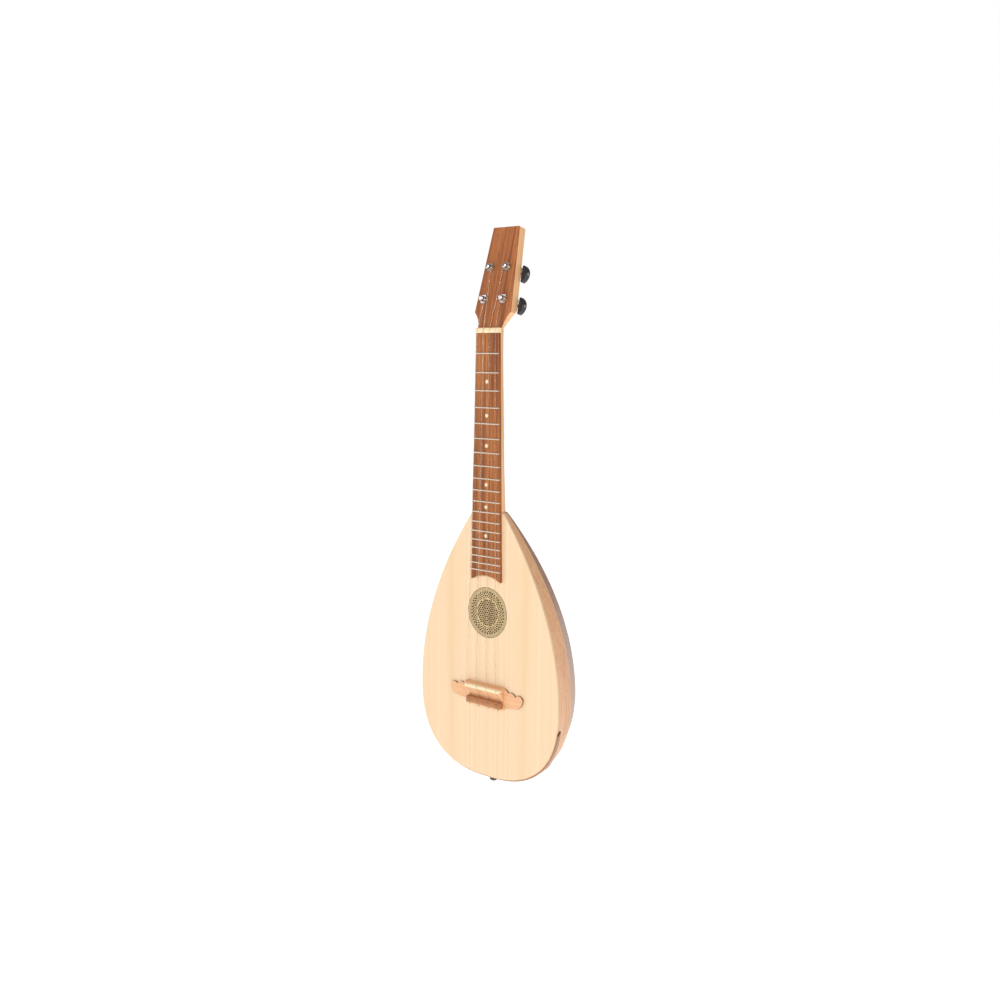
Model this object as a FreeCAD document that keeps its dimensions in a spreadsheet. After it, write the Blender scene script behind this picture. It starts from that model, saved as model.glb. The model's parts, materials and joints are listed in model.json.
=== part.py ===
import FreeCAD, Part
import math
import os

import Sketcher
from FreeCAD import Placement, Rotation, Vector

# A four-string fretted lute on a tenor ukulele scale, with a staved bowl back.
# Frame: +Z runs up the neck, the soundboard faces -Y, +X is the treble side seen from
# the front. The origin is where the end pin's head seats, on the pin's own axis.

doc = FreeCAD.newDocument("FrettedLute")

DRIVING_SIZES = (
    ("scale_length", 432.0),
    ("fret_count", 19),
    ("joint_fret", 12),
    ("string_spacing_saddle", 15.8),
    ("string_spacing_nut", 9.5),
    ("tail_gap", 2.0),
    ("pin_depth", 14.5),
    ("bridge_setback", 116.3),
    ("widest_setback", 105.9),
    ("body_half_width", 111.6),
    ("joint_half_width", 24.5),
    ("tail_fullness", 2.50),
    ("shoulder_taper", 1.95),
    ("bowl_depth", 103.0),
    ("bowl_fullness", 1.80),
    ("bowl_flattening", 3.0),
    ("rib_count", 9),
    ("rim_rib_angle", 17.0),
    ("rib_thickness", 2.4),
    ("purfling_width", 0.9),
    ("soundboard_thickness", 2.4),
    ("glue_gap", 0.1),
    ("rosette_setback", 91.2),
    ("rosette_radius", 31.6),
    ("rosette_ring_width", 4.0),
    ("lattice_thickness", 0.8),
    ("lattice_recess", 0.3),
    ("neck_block_length", 20.0),
    ("tail_block_length", 20.0),
    ("tail_block_width", 60.0),
    ("brace_width", 7.0),
    ("brace_height", 11.0),
    ("upper_brace_setback", 137.0),
    ("middle_brace_setback", 46.0),
    ("lower_brace_setback", -62.0),
    ("patch_length", 104.0),
    ("patch_width", 30.0),
    ("patch_thickness", 2.0),
    ("clasp_thickness", 2.0),
    ("clasp_reach", 79.0),
    ("clasp_depth", 38.0),
    ("clasp_tip_depth", 5.0),
    ("pin_head_radius", 5.0),
    ("pin_head_length", 7.5),
    ("pin_head_rounding", 1.5),
    ("pin_shank_radius", 2.6),
    ("pin_shank_length", 18.0),
    ("board_thickness", 4.2),
    ("board_half_width_nut", 17.7),
    ("board_half_width_end", 24.2),
    ("board_end_gap", 15.2),
    ("fret_crown_height", 0.9),
    ("fret_crown_width", 2.0),
    ("fret_tang_width", 0.5),
    ("fret_tang_depth", 1.8),
    ("dot_radius", 2.3),
    ("dot_depth", 1.2),
    ("neck_depth_nut", 13.6),
    ("neck_depth_joint", 18.8),
    ("nut_thickness", 6.0),
    ("nut_half_width", 17.9),
    ("nut_height", 6.3),
    ("nut_slot_height", 5.7),
    ("slot_gap", 0.12),
    ("bridge_half_length", 59.3),
    ("bridge_plate_thickness", 2.0),
    ("bridge_block_half_length", 30.0),
    ("bridge_block_height", 7.5),
    ("saddle_half_length", 27.8),
    ("saddle_thickness", 5.0),
    ("saddle_compensation", 2.8),
    ("saddle_slot_depth", 3.5),
    ("saddle_height", 10.3),
    ("tie_block_half_length", 28.0),
    ("tie_block_width", 8.2),
    ("tie_block_setback", 16.7),
    ("tie_block_height", 8.2),
    ("tie_block_rounding", 1.6),
    ("tie_hole_radius", 0.8),
    ("tie_hole_height", 4.6),
    ("head_tilt", 13.6),
    ("head_drop", 0.0),
    ("head_length", 124.4),
    ("head_core_thickness", 10.4),
    ("head_veneer_thickness", 2.0),
    ("head_base_half_width", 18.0),
    ("head_wide_half_width", 27.9),
    ("head_wide_at", 19.4),
    ("head_tip_half_width", 19.8),
    ("lower_post_at", 35.0),
    ("lower_post_half_spacing", 15.4),
    ("upper_post_at", 74.1),
    ("upper_post_half_spacing", 13.3),
    ("post_radius", 3.0),
    ("post_height", 9.0),
    ("post_hole_radius", 0.8),
    ("bushing_flat_radius", 5.0),
    ("bushing_flange_thickness", 2.4),
    ("bushing_sleeve_radius", 4.0),
    ("bushing_sleeve_length", 9.0),
    ("running_gap", 0.05),
    ("gear_module", 0.45),
    ("gear_teeth", 14),
    ("worm_pitch_radius", 1.85),
    ("gear_plane_depth", 2.9),
    ("gear_width", 3.6),
    ("housing_wall", 1.2),
    ("housing_depth", 7.6),
    ("worm_shaft_radius", 1.5),
    ("lower_button_reach", 12.9),
    ("upper_button_reach", 12.0),
    ("button_height", 20.8),
    ("button_width", 8.0),
    ("button_thickness", 7.5),
    ("button_sag", 2.6),
    ("button_shoulder", 1.8),
    ("button_edge_radius", 1.4),
    ("mounting_screw_radius", 1.1),
    ("mounting_screw_tip", 3.0),
    ("pivot_radius", 1.2),
    ("wheel_seat_radius", 2.0),
    ("collar_width", 0.9),
    ("shaft_stub_length", 6.0),
    ("button_screw_radius", 0.8),
    ("button_screw_head_radius", 1.9),
    ("ear_width", 6.0),
    ("ear_overhang", 3.0),
    ("head_heel_length", 3.0),
    ("throat_facet_width", 13.0),
    ("throat_facet_depth", 9.5),
    ("throat_length", 5.0),
)

sheet = doc.addObject("Spreadsheet::Sheet", "Sizes")
for row, (alias, value) in enumerate(DRIVING_SIZES, start=1):
    sheet.set("A%d" % row, alias)
    sheet.set("B%d" % row, str(value))
    sheet.setAlias("B%d" % row, alias)
doc.recompute()


def size(alias):
    return float(getattr(sheet, alias))


# ---------------------------------------------------------------- shared places

STRINGS = (("g", 0.60), ("c", 0.86), ("e", 0.72), ("a", 0.60))

top_y = -size("pin_depth")
seam_y = top_y + size("soundboard_thickness")
tail_z = size("tail_gap")
saddle_z = tail_z + size("bridge_setback")
widest_z = tail_z + size("widest_setback")
nut_z = saddle_z + size("scale_length")
joint_z = nut_z - size("scale_length") * (1.0 - 2.0 ** (-size("joint_fret") / 12.0))
rosette_z = saddle_z + size("rosette_setback")
board_end_radius = size("rosette_radius") + size("board_end_gap")

TOP_Y = "-Sizes.pin_depth"
SADDLE_Z = "Sizes.tail_gap + Sizes.bridge_setback"
NUT_Z = SADDLE_Z + " + Sizes.scale_length"

head_place = Placement(
    Vector(0, top_y + size("head_drop"), nut_z + size("nut_thickness")),
    Rotation(Vector(1, 0, 0), -size("head_tilt")),
)
head_back = size("head_veneer_thickness") + size("head_core_thickness")

nodes = []


def keep(obj, label):
    """Make an object a sub-part under its own name."""
    obj.Label = label
    nodes.append(obj)
    return obj


def solid_feature(name, shape):
    """A piece whose shape is worked out by formula."""
    feature = doc.addObject("Part::Feature", name)
    feature.Shape = shape
    return feature


def bind(obj, **sizes):
    """Tie properties to the sheet; a double underscore stands for a dot."""
    for prop, expression in sizes.items():
        obj.setExpression(prop.replace("__", "."), expression)
    return obj


def box(name, length, width, height, x, y, z):
    """A box from its three lengths and its lowest corner, all given as expressions."""
    obj = doc.addObject("Part::Box", name)
    bind(obj, Length=length, Width=width, Height=height)
    bind(obj, Placement__Base__x=x, Placement__Base__y=y, Placement__Base__z=z)
    return obj


def cylinder(name, radius, height, place=None):
    obj = doc.addObject("Part::Cylinder", name)
    bind(obj, Radius=radius, Height=height)
    if place is not None:
        obj.Placement = place
    return obj


def cut(name, base, tool):
    obj = doc.addObject("Part::Cut", name)
    obj.Base = base
    obj.Tool = tool
    return obj


def common(name, base, tool):
    obj = doc.addObject("Part::Common", name)
    obj.Base = base
    obj.Tool = tool
    return obj


def fuse(name, *shapes):
    obj = doc.addObject("Part::MultiFuse", name)
    obj.Shapes = list(shapes)
    return obj


def compound(name, *links):
    obj = doc.addObject("Part::Compound", name)
    obj.Links = list(links)
    return obj


def origin_plane(body, role):
    return [plane for plane in body.Origin.OriginFeatures if plane.Role == role][0]


def polygon_sketch(body, name, role, corners, lift="0"):
    """A closed sketch whose every corner is held by two distances from the sheet."""
    sketch = body.newObject("Sketcher::SketchObject", name)
    sketch.AttachmentSupport = [(origin_plane(body, role), "")]
    sketch.MapMode = "FlatFace"
    sketch.setExpression("AttachmentOffset.Base.z", lift)
    count = len(corners)
    turn = 2.0 * math.pi / count
    start = [Vector(math.cos(turn * i), math.sin(turn * i), 0) for i in range(count)]
    for i in range(count):
        sketch.addGeometry(Part.LineSegment(start[i], start[(i + 1) % count]))
    for i in range(count):
        sketch.addConstraint(Sketcher.Constraint("Coincident", i, 2, (i + 1) % count, 1))
    for i, corner in enumerate(corners):
        for kind, expression, axis in (("DistanceX", corner[0], -2), ("DistanceY", corner[1], -1)):
            if expression == "0":
                sketch.addConstraint(Sketcher.Constraint("PointOnObject", i, 1, axis))
                continue
            index = sketch.addConstraint(Sketcher.Constraint(kind, i, 1, start[i].x + 2.0))
            sketch.setExpression("Constraints[%d]" % index, expression)
    return sketch


def padded_body(name, role, corners, length, lift="0", backwards=False, symmetric=False):
    """A PartDesign body holding one padded polygon."""
    body = doc.addObject("PartDesign::Body", name)
    pad = body.newObject("PartDesign::Pad", name + "_pad")
    pad.Profile = polygon_sketch(body, name + "_sketch", role, corners, lift)
    pad.setExpression("Length", length)
    pad.Reversed = backwards
    if symmetric:
        pad.SideType = "Symmetric"
    body.Tip = pad
    return body


# ---------------------------------------------------------------- bowl

def bowl_stations(outset=0.0):
    """Half width, depth and height along the bowl, tail first, at an offset from its surface.

    Below the widest place the outline is a superellipse and above it a power curve; the
    depth follows its own superellipse below and the width above.
    """
    half_width = size("body_half_width") + outset
    depth = size("bowl_depth") + outset
    tail_length = size("widest_setback") + outset
    joint_half_width = size("joint_half_width") + outset
    rows = []
    for angle in (3.0, 8.0, 15.0, 24.0, 35.0, 48.0, 62.0, 76.0, 90.0):
        turn = math.radians(angle)
        down = math.cos(turn) ** (2.0 / size("tail_fullness")) if angle < 90.0 else 0.0
        width = half_width * math.sin(turn) ** (2.0 / size("tail_fullness"))
        deep = depth * (1.0 - down ** size("bowl_fullness")) ** (1.0 / size("bowl_fullness"))
        rows.append((width, deep, widest_z - tail_length * down))
    steps = 7
    for step in range(1, steps + 1):
        up = step / steps
        width = half_width - (half_width - joint_half_width) * up ** size("shoulder_taper")
        deep = depth * width / half_width - size("bowl_flattening") * up**4
        rows.append((width, deep, widest_z + (joint_z - widest_z) * up))
    return rows


def seam_angles():
    """Where the ribs meet, as angles round the section: narrower ribs at the two rims."""
    rim = size("rim_rib_angle")
    inner = int(size("rib_count")) - 2
    step = (180.0 - 2.0 * rim) / inner
    return [0.0] + [rim + step * i for i in range(inner + 1)] + [180.0]


def seam_points(angle, outset=0.0):
    turn = math.radians(angle)
    rows = bowl_stations(outset)
    return [Vector(w * math.cos(turn), seam_y + d * math.sin(turn), z) for w, d, z in rows]


def through(points):
    curve = Part.BSplineCurve()
    curve.interpolate(points)
    return curve.toShape()


def moved_towards(points, others, distance):
    """Points shifted towards their neighbours on the next seam."""
    return [p + (q - p).normalize() * distance for p, q in zip(points, others)]


def ruled_solid(outer_a, outer_b, inner_a, inner_b):
    """The solid between four curves: an outer pair, and the inner pair behind it."""
    rails = [through(points) for points in (outer_a, outer_b, inner_b, inner_a)]
    faces = [Part.makeRuledSurface(rails[i], rails[(i + 1) % 4]) for i in range(4)]
    for end in (0, -1):
        a, b, c, d = (points[end] for points in (outer_a, outer_b, inner_b, inner_a))
        near = Part.LineSegment(a, b).toShape()
        far = Part.LineSegment(d, c).toShape()
        faces.append(Part.makeRuledSurface(near, far))
    shell = Part.makeShell([f for face in faces for f in face.Faces])
    shell.sewShape()
    solid = Part.makeSolid(shell)
    if solid.Volume < 0:
        solid.reverse()
    return solid


def bowl_volume(outset):
    """The whole bowl as one closed solid, at an offset from its outer surface."""
    seams = [seam_points(angle, outset) for angle in seam_angles()]
    rails = [through(points) for points in seams]
    faces = [Part.makeRuledSurface(a, b) for a, b in zip(rails, rails[1:])]
    closing = [Part.LineSegment(seams[-1][end], seams[0][end]).toShape() for end in (0, -1)]
    faces.append(Part.Face(Part.Wire([rails[0], closing[1], rails[-1], closing[0]])))
    for end in (0, -1):
        ring = [points[end] for points in seams]
        faces.append(Part.Face(Part.makePolygon(ring + [ring[0]])))
    shell = Part.makeShell([f for face in faces for f in face.Faces])
    shell.sewShape()
    solid = Part.makeSolid(shell)
    if solid.Volume < 0:
        solid.reverse()
    return solid


pin_hole = cylinder(
    "pin_hole", "Sizes.pin_shank_radius", "Sizes.pin_shank_length + 2 * Sizes.tail_gap",
    Placement(Vector(0, 0, -2.0 * tail_z), Rotation()),
)

seam_list = seam_angles()
outer_seams = [seam_points(angle) for angle in seam_list]
inner_seams = [seam_points(angle, -size("rib_thickness")) for angle in seam_list]
half_purfling = size("purfling_width") / 2.0
last_seam = len(seam_list) - 1
purflings = []
ribs = []
for number in range(1, last_seam + 1):
    sides = []
    for rails in (outer_seams, inner_seams):
        low, high = rails[number - 1], rails[number]
        start = low if number == 1 else moved_towards(low, high, half_purfling)
        finish = high if number == last_seam else moved_towards(high, low, half_purfling)
        sides.append((start, finish))
    rib = ruled_solid(sides[0][0], sides[0][1], sides[1][0], sides[1][1])
    ribs.append(solid_feature("rib_%d_stave" % number, rib))
for number in range(1, last_seam):
    edges = []
    for rails in (outer_seams, inner_seams):
        seam = rails[number]
        edges.append(moved_towards(seam, rails[number - 1], half_purfling))
        edges.append(moved_towards(seam, rails[number + 1], half_purfling))
    purflings.append(ruled_solid(*edges))

middle = (last_seam + 1) // 2
for number, stave in enumerate(ribs, start=1):
    if number == middle:
        keep(cut("rib_%d_bored" % number, stave, pin_hole), "rib_%d" % number)
    else:
        keep(stave, "rib_%d" % number)
keep(solid_feature("rib_purflings_lines", Part.makeCompound(purflings)), "rib_purflings")

bowl_inside = solid_feature(
    "bowl_inside", bowl_volume(-size("rib_thickness") - size("glue_gap"))
)

# ---------------------------------------------------------------- blocks and braces inside

keep(
    common(
        "neck_block_trimmed",
        bowl_inside,
        box(
            "neck_block_blank", "2 * Sizes.body_half_width", "Sizes.bowl_depth",
            "Sizes.neck_block_length + 5", "-Sizes.body_half_width", TOP_Y,
            NUT_Z + " - Sizes.scale_length * (1 - 2 ^ (-Sizes.joint_fret / 12))"
            " - Sizes.neck_block_length",
        ),
    ),
    "neck_block",
)
tail_block_trimmed = common(
    "tail_block_trimmed",
    bowl_inside,
    box(
        "tail_block_blank", "Sizes.tail_block_width", "Sizes.clasp_depth",
        "Sizes.tail_block_length + Sizes.tail_gap", "-Sizes.tail_block_width / 2", TOP_Y, "0",
    ),
)
keep(cut("tail_block_bored", tail_block_trimmed, pin_hole), "tail_block")

braces = []
for place in ("upper", "middle", "lower"):
    braces.append(
        common(
            place + "_brace",
            bowl_inside,
            box(
                place + "_brace_blank", "2 * Sizes.body_half_width", "Sizes.brace_height",
                "Sizes.brace_width", "-Sizes.body_half_width",
                TOP_Y + " + Sizes.soundboard_thickness",
                SADDLE_Z + " + Sizes.%s_brace_setback - Sizes.brace_width / 2" % place,
            ),
        )
    )
keep(compound("soundboard_braces_set", *braces), "soundboard_braces")
keep(
    box(
        "bridge_patch_plate", "Sizes.patch_length", "Sizes.patch_thickness", "Sizes.patch_width",
        "-Sizes.patch_length / 2", TOP_Y + " + Sizes.soundboard_thickness",
        SADDLE_Z + " - Sizes.patch_width + 4",
    ),
    "bridge_patch",
)

# ---------------------------------------------------------------- soundboard and rosette

def outline_edge(side):
    """One side of the soundboard, from the middle of the tail up to the neck joint."""
    points = [Vector(0, top_y, tail_z)]
    points += [Vector(side * w, top_y, z) for w, deep, z in bowl_stations()]
    curve = Part.BSplineCurve()
    curve.interpolate(points)
    return curve.toShape()


def soundboard_half(side):
    edge = outline_edge(side)
    tail = Vector(0, top_y, tail_z)
    corner = Vector(side * size("joint_half_width"), top_y, joint_z)
    head = Vector(0, top_y, joint_z)
    wire = Part.Wire([
        edge,
        Part.LineSegment(corner, head).toShape(),
        Part.LineSegment(head, tail).toShape(),
    ])
    board = Part.Face(wire).extrude(Vector(0, size("soundboard_thickness"), 0))
    hole = Part.makeCylinder(
        size("rosette_radius"),
        3.0 * size("soundboard_thickness"),
        Vector(0, top_y - size("soundboard_thickness"), rosette_z),
        Vector(0, 1, 0),
    )
    return board.cut(hole)


keep(solid_feature("bass_half", soundboard_half(-1)), "soundboard_bass_half")
keep(solid_feature("treble_half", soundboard_half(1)), "soundboard_treble_half")

face_outward = Rotation(Vector(1, 0, 0), -90)
rosette_centre = Placement(Vector(0, top_y, rosette_z), face_outward)
ring = cut(
    "rosette_ring_band",
    cylinder("ring_outside", "Sizes.rosette_radius", "Sizes.soundboard_thickness",
             rosette_centre),
    cylinder("ring_inside", "Sizes.rosette_radius - Sizes.rosette_ring_width",
             "Sizes.soundboard_thickness", rosette_centre),
)
keep(ring, "rosette_ring")


def star_polygon(x, z, radius, sides, turn):
    corners = []
    for i in range(sides + 1):
        angle = turn + 2.0 * math.pi * i / sides
        corners.append(Vector(x + radius * math.cos(angle), 0, z + radius * math.sin(angle)))
    return Part.Wire(Part.makePolygon(corners))


def distance_to_star(x, z, reach):
    """How far a point is from the nearest strap of the six-pointed star."""
    nearest = reach
    for i in range(6):
        angle = math.pi / 6.0 + math.pi / 3.0 * i
        along = x * math.cos(angle) + z * math.sin(angle)
        nearest = min(nearest, abs(along - reach / 2.0))
    return nearest


LOZENGE_COUNT = 40
LOZENGE_ROWS = (0.93, 0.85, 0.77, 0.69)
LOZENGE_SHARE = 0.36


def lattice():
    """The pierced rose: four staggered rings of lozenges round a six-pointed star field."""
    radius = size("rosette_radius") - size("rosette_ring_width")
    field_radius = 0.63 * radius
    strap = 0.038 * radius
    openings = []
    for row, share in enumerate(LOZENGE_ROWS):
        reach = share * radius
        width = LOZENGE_SHARE * 2.0 * math.pi * reach / LOZENGE_COUNT
        for i in range(LOZENGE_COUNT):
            turn = 2.0 * math.pi * (i + 0.5 * (row % 2)) / LOZENGE_COUNT
            openings.append(
                star_polygon(reach * math.cos(turn), reach * math.sin(turn), width, 4, turn)
            )
    pitch = 0.105 * radius
    rows = int(field_radius / pitch) + 1
    for j in range(-rows, rows + 1):
        for i in range(-rows, rows + 1):
            x = pitch * (i + 0.5 * (j % 2))
            z = pitch * j * math.sqrt(3.0) / 2.0
            if math.hypot(x, z) > field_radius - strap:
                continue
            if distance_to_star(x, z, field_radius) < strap:
                continue
            openings.append(star_polygon(x, z, 0.42 * pitch, 6, math.pi / 6.0))
    edge = Part.Wire(Part.makeCircle(radius, Vector(0, 0, 0), Vector(0, 1, 0)))
    plate = Part.Face([edge] + openings)
    return plate.extrude(Vector(0, size("lattice_thickness"), 0))


rose = solid_feature("rose", lattice())
rose.Placement = Placement(Vector(0, top_y + size("lattice_recess"), rosette_z), Rotation())
keep(rose, "rosette_lattice")

# ---------------------------------------------------------------- tail clasp and end pin

def clasp_side_view():
    """The strip seen from the side: deep at the tail, an ogee up to a pointed tip."""
    tip = tail_z + size("clasp_reach")
    point = size("clasp_tip_depth")
    below = -3.0 * size("clasp_thickness")
    front = seam_y - size("clasp_thickness")
    far = size("body_half_width") + 5.0 * size("clasp_thickness")
    corners = [
        Vector(-far, front, below),
        Vector(-far, front, tip - 2.0 * point),
        Vector(-far, seam_y, tip - point),
        Vector(-far, seam_y + point, tip),
    ]
    sweep = Part.BSplineCurve()
    sweep.interpolate([
        corners[3],
        Vector(-far, seam_y + 1.1 * point, tip - 4.0 * point),
        Vector(-far, seam_y + 2.2 * point, tip - 9.0 * point),
        Vector(-far, seam_y + 0.75 * size("clasp_depth"), tail_z + 2.6 * point),
        Vector(-far, seam_y + size("clasp_depth"), below),
    ])
    edges = [Part.LineSegment(a, b).toShape() for a, b in zip(corners, corners[1:])]
    edges.append(sweep.toShape())
    edges.append(Part.LineSegment(Vector(-far, seam_y + size("clasp_depth"), below),
                                  corners[0]).toShape())
    return Part.Face(Part.Wire(edges)).extrude(Vector(2.0 * far, 0, 0))


clasp_outside = solid_feature("clasp_outside", bowl_volume(size("clasp_thickness")))
clasp_inside = solid_feature("clasp_inside", bowl_volume(size("glue_gap") / 4.0))
clasp_shape = common(
    "clasp_shape", cut("clasp_skin", clasp_outside, clasp_inside),
    solid_feature("clasp_cutter", clasp_side_view()),
)
keep(cut("clasp_bored", clasp_shape, pin_hole), "tail_clasp")

pin_body = doc.addObject("PartDesign::Body", "end_pin_body")
pin_turning = pin_body.newObject("PartDesign::Revolution", "end_pin_turning")
pin_turning.Profile = polygon_sketch(
    pin_body, "end_pin_sketch", "XZ_Plane",
    [
        ("0", "-Sizes.pin_head_length"),
        ("Sizes.pin_head_radius - Sizes.pin_head_rounding", "-Sizes.pin_head_length"),
        ("Sizes.pin_head_radius", "-Sizes.pin_head_length + Sizes.pin_head_rounding"),
        ("Sizes.pin_head_radius", "0"),
        ("Sizes.pin_shank_radius", "0"),
        ("Sizes.pin_shank_radius", "Sizes.pin_shank_length"),
        ("0", "Sizes.pin_shank_length"),
    ],
)
pin_turning.ReferenceAxis = (pin_turning.Profile[0], ["V_Axis"])
pin_body.Tip = pin_turning
keep(pin_body, "end_pin")

# ---------------------------------------------------------------- fingerboard, frets and dots

BOARD_TAIL_Z = SADDLE_Z + " + Sizes.rosette_setback"
board_blank = padded_body(
    "board_blank", "XZ_Plane",
    [
        ("-Sizes.board_half_width_end", BOARD_TAIL_Z),
        ("Sizes.board_half_width_end", BOARD_TAIL_Z),
        ("Sizes.board_half_width_nut", NUT_Z),
        ("-Sizes.board_half_width_nut", NUT_Z),
    ],
    "Sizes.board_thickness", lift="Sizes.pin_depth",
)


def board_half_width(z):
    share = (nut_z - z) / (nut_z - rosette_z)
    narrow = size("board_half_width_nut")
    return narrow + (size("board_half_width_end") - narrow) * share


fret_places = [
    saddle_z + size("scale_length") * 2.0 ** (-n / 12.0)
    for n in range(1, int(size("fret_count")) + 1)
]
board_y = top_y - size("board_thickness")


def fret_shapes():
    """Crown and tang of every fret, and the slots that the tangs stand in."""
    crown_half = size("fret_crown_width") / 2.0
    rise = size("fret_crown_height")
    wires, slots = [], []
    for z in fret_places:
        half = board_half_width(z)
        left = Vector(-half, board_y, z - crown_half)
        crest = Vector(-half, board_y - rise, z)
        right = Vector(-half, board_y, z + crown_half)
        dome = Part.Arc(left, crest, right).toShape()
        foot = Part.LineSegment(right, left).toShape()
        crown = Part.Face(Part.Wire([dome, foot])).extrude(Vector(2.0 * half, 0, 0))
        tang = Part.makeBox(
            2.0 * half, size("fret_tang_depth"), size("fret_tang_width"),
            Vector(-half, board_y, z - size("fret_tang_width") / 2.0),
        )
        wires.append(crown.fuse(tang).removeSplitter())
        slots.append(Part.makeBox(
            2.0 * half + 2.0, 2.0 * size("fret_tang_depth"), size("fret_tang_width"),
            Vector(-half - 1.0, board_y - size("fret_tang_depth"),
                   z - size("fret_tang_width") / 2.0),
        ))
    return wires, slots


fret_wires, fret_slots = fret_shapes()
keep(solid_feature("fret_wires", Part.makeCompound(fret_wires)), "frets")

DOT_FRETS = (3, 5, 7, 10, 12, 15)
fret_edges = [nut_z] + fret_places
dots = []
for fret in DOT_FRETS:
    z = (fret_edges[fret] + fret_edges[fret - 1]) / 2.0
    dots.append(Part.makeCylinder(
        size("dot_radius"), size("dot_depth"), Vector(0, board_y, z), Vector(0, 1, 0)
    ))
keep(solid_feature("dot_inlays", Part.makeCompound(dots)), "fret_dots")

board_end = cylinder(
    "board_end_arc", "Sizes.rosette_radius + Sizes.board_end_gap", "6 * Sizes.board_thickness",
    Placement(Vector(0, top_y - 3.0 * size("board_thickness"), rosette_z), face_outward),
)
board_recesses = solid_feature("board_recesses", Part.makeCompound(fret_slots + dots))
board_tools = compound("board_tools", board_end, board_recesses)
keep(cut("board_shaped", board_blank, board_tools), "fingerboard")

# ---------------------------------------------------------------- neck with its head

def neck_section(z, depth, fullness):
    """A flat front and a rounded back, as a superellipse of the given fullness."""
    half = board_half_width(z)
    steps = 14
    points = []
    for i in range(steps + 1):
        turn = math.pi * i / steps
        across = math.copysign(abs(math.cos(turn)) ** (2.0 / fullness), math.cos(turn))
        deep = math.sin(turn) ** (2.0 / fullness) if 0 < i < steps else 0.0
        points.append(Vector(half * across, top_y + depth * deep, z))
    back = through(points)
    return Part.Wire([back, Part.LineSegment(points[-1], points[0]).toShape()])


neck_top_z = nut_z + size("nut_thickness")
slab_back = size("head_drop") + head_back / math.cos(math.radians(size("head_tilt")))
depth_nut = size("neck_depth_nut")
depth_joint = size("neck_depth_joint")
throat_z = nut_z - size("nut_thickness")
SHAFT_FULLNESS = 2.2


def shaft_section(share):
    """The section part of the way from the heel at the body joint to the throat."""
    z = joint_z + share * (throat_z - joint_z)
    return neck_section(z, depth_nut + (depth_joint - depth_nut) * (1.0 - share) ** 3,
                        SHAFT_FULLNESS)


neck_shaft = solid_feature("neck_shaft", Part.makeLoft([
    shaft_section(0.0),
    shaft_section(0.15),
    shaft_section(0.35),
    shaft_section(0.6),
    shaft_section(1.0),
    neck_section(neck_top_z, slab_back - size("glue_gap"), 1.2 * SHAFT_FULLNESS),
], True, False))


def head_outline(low):
    """The head seen square on: a hollow flare up to the wide corners, then a taper."""
    base = size("head_base_half_width")
    wide = size("head_wide_half_width")
    tip = size("head_tip_half_width")
    edges = []
    for side in (1, -1):
        foot = Vector(side * base, 0, low)
        start = Vector(side * base, 0, 0)
        bend = Vector(side * (base + 0.28 * (wide - base)), 0, 0.52 * size("head_wide_at"))
        corner = Vector(side * wide, 0, size("head_wide_at"))
        top = Vector(side * tip, 0, size("head_length"))
        if low < 0:
            edges.append(Part.LineSegment(foot, start).toShape())
        edges.append(Part.Arc(start, bend, corner).toShape())
        edges.append(Part.LineSegment(corner, top).toShape())
    for z, half in ((low, base), (size("head_length"), tip)):
        edges.append(Part.LineSegment(Vector(-half, 0, z), Vector(half, 0, z)).toShape())
    return Part.Face(Part.Wire(Part.sortEdges(edges)[0]))


def throat_facet(side):
    """The wedge pared off the core's lower back edge, fading out at the wide corner."""
    base = size("head_base_half_width")
    thick = size("head_core_thickness")
    low = -size("head_heel_length")
    far = 2.0 * size("head_wide_half_width")
    on_back = Vector(side * (base - size("throat_facet_width")), thick, low)
    on_side = Vector(side * base, thick - size("throat_facet_depth"), low)
    fades_at = Vector(side * size("head_wide_half_width"), thick,
                      size("head_wide_at") + size("throat_length"))
    outward = (on_side - on_back).cross(fades_at - on_back)
    outward = outward.normalize() * (1.0 if outward.y > 0 else -1.0)
    block = Part.makeBox(2.0 * far, 2.0 * far, far, Vector(-far, -far, 0))
    block.Placement = Placement(on_back, Rotation(Vector(0, 0, 1), outward))
    return block


core = head_outline(-size("head_heel_length")).extrude(Vector(0, size("head_core_thickness"), 0))
head_slab = solid_feature("head_slab", core.cut(throat_facet(1)).cut(throat_facet(-1)))
head_slab.Placement = head_place.multiply(
    Placement(Vector(0, size("head_veneer_thickness"), 0), Rotation())
)

TUNERS = (
    ("g", -1, "lower"),
    ("c", -1, "upper"),
    ("e", 1, "upper"),
    ("a", 1, "lower"),
)
backwards = Rotation(Vector(1, 0, 0), -90)


def post_centre(side, row, depth=0.0):
    return Vector(side * size(row + "_post_half_spacing"), depth, size(row + "_post_at"))


ear_reach = (
    size("gear_module") * (size("gear_teeth") + 2) / 2.0
    + 2.0 * size("housing_wall")
    + size("pivot_radius") + 0.7
)


def screw_centre(side, row, depth):
    return post_centre(side, row, depth) + Vector(0, 0, ear_reach)


head_holes = []
for string, side, row in TUNERS:
    head_holes.append(cylinder(
        "head_hole_" + string, "Sizes.bushing_sleeve_radius",
        "2 * (Sizes.head_core_thickness + Sizes.head_veneer_thickness)",
        Placement(post_centre(side, row, -head_back / 2.0), backwards),
    ))
    head_holes.append(cylinder(
        "screw_hole_" + string, "Sizes.mounting_screw_radius", "Sizes.head_core_thickness",
        Placement(
            screw_centre(side, row, size("mounting_screw_tip") + size("head_veneer_thickness")),
            backwards,
        ),
    ))
veneer_sheet = solid_feature(
    "veneer_sheet", head_outline(0.0).extrude(Vector(0, size("head_veneer_thickness"), 0))
)
head_bores = compound("head_bores", veneer_sheet, *head_holes)
head_bores.Placement = head_place
neck_blank = fuse("neck_blank", neck_shaft, head_slab)
keep(cut("neck_bored", neck_blank, head_bores), "neck")

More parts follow.
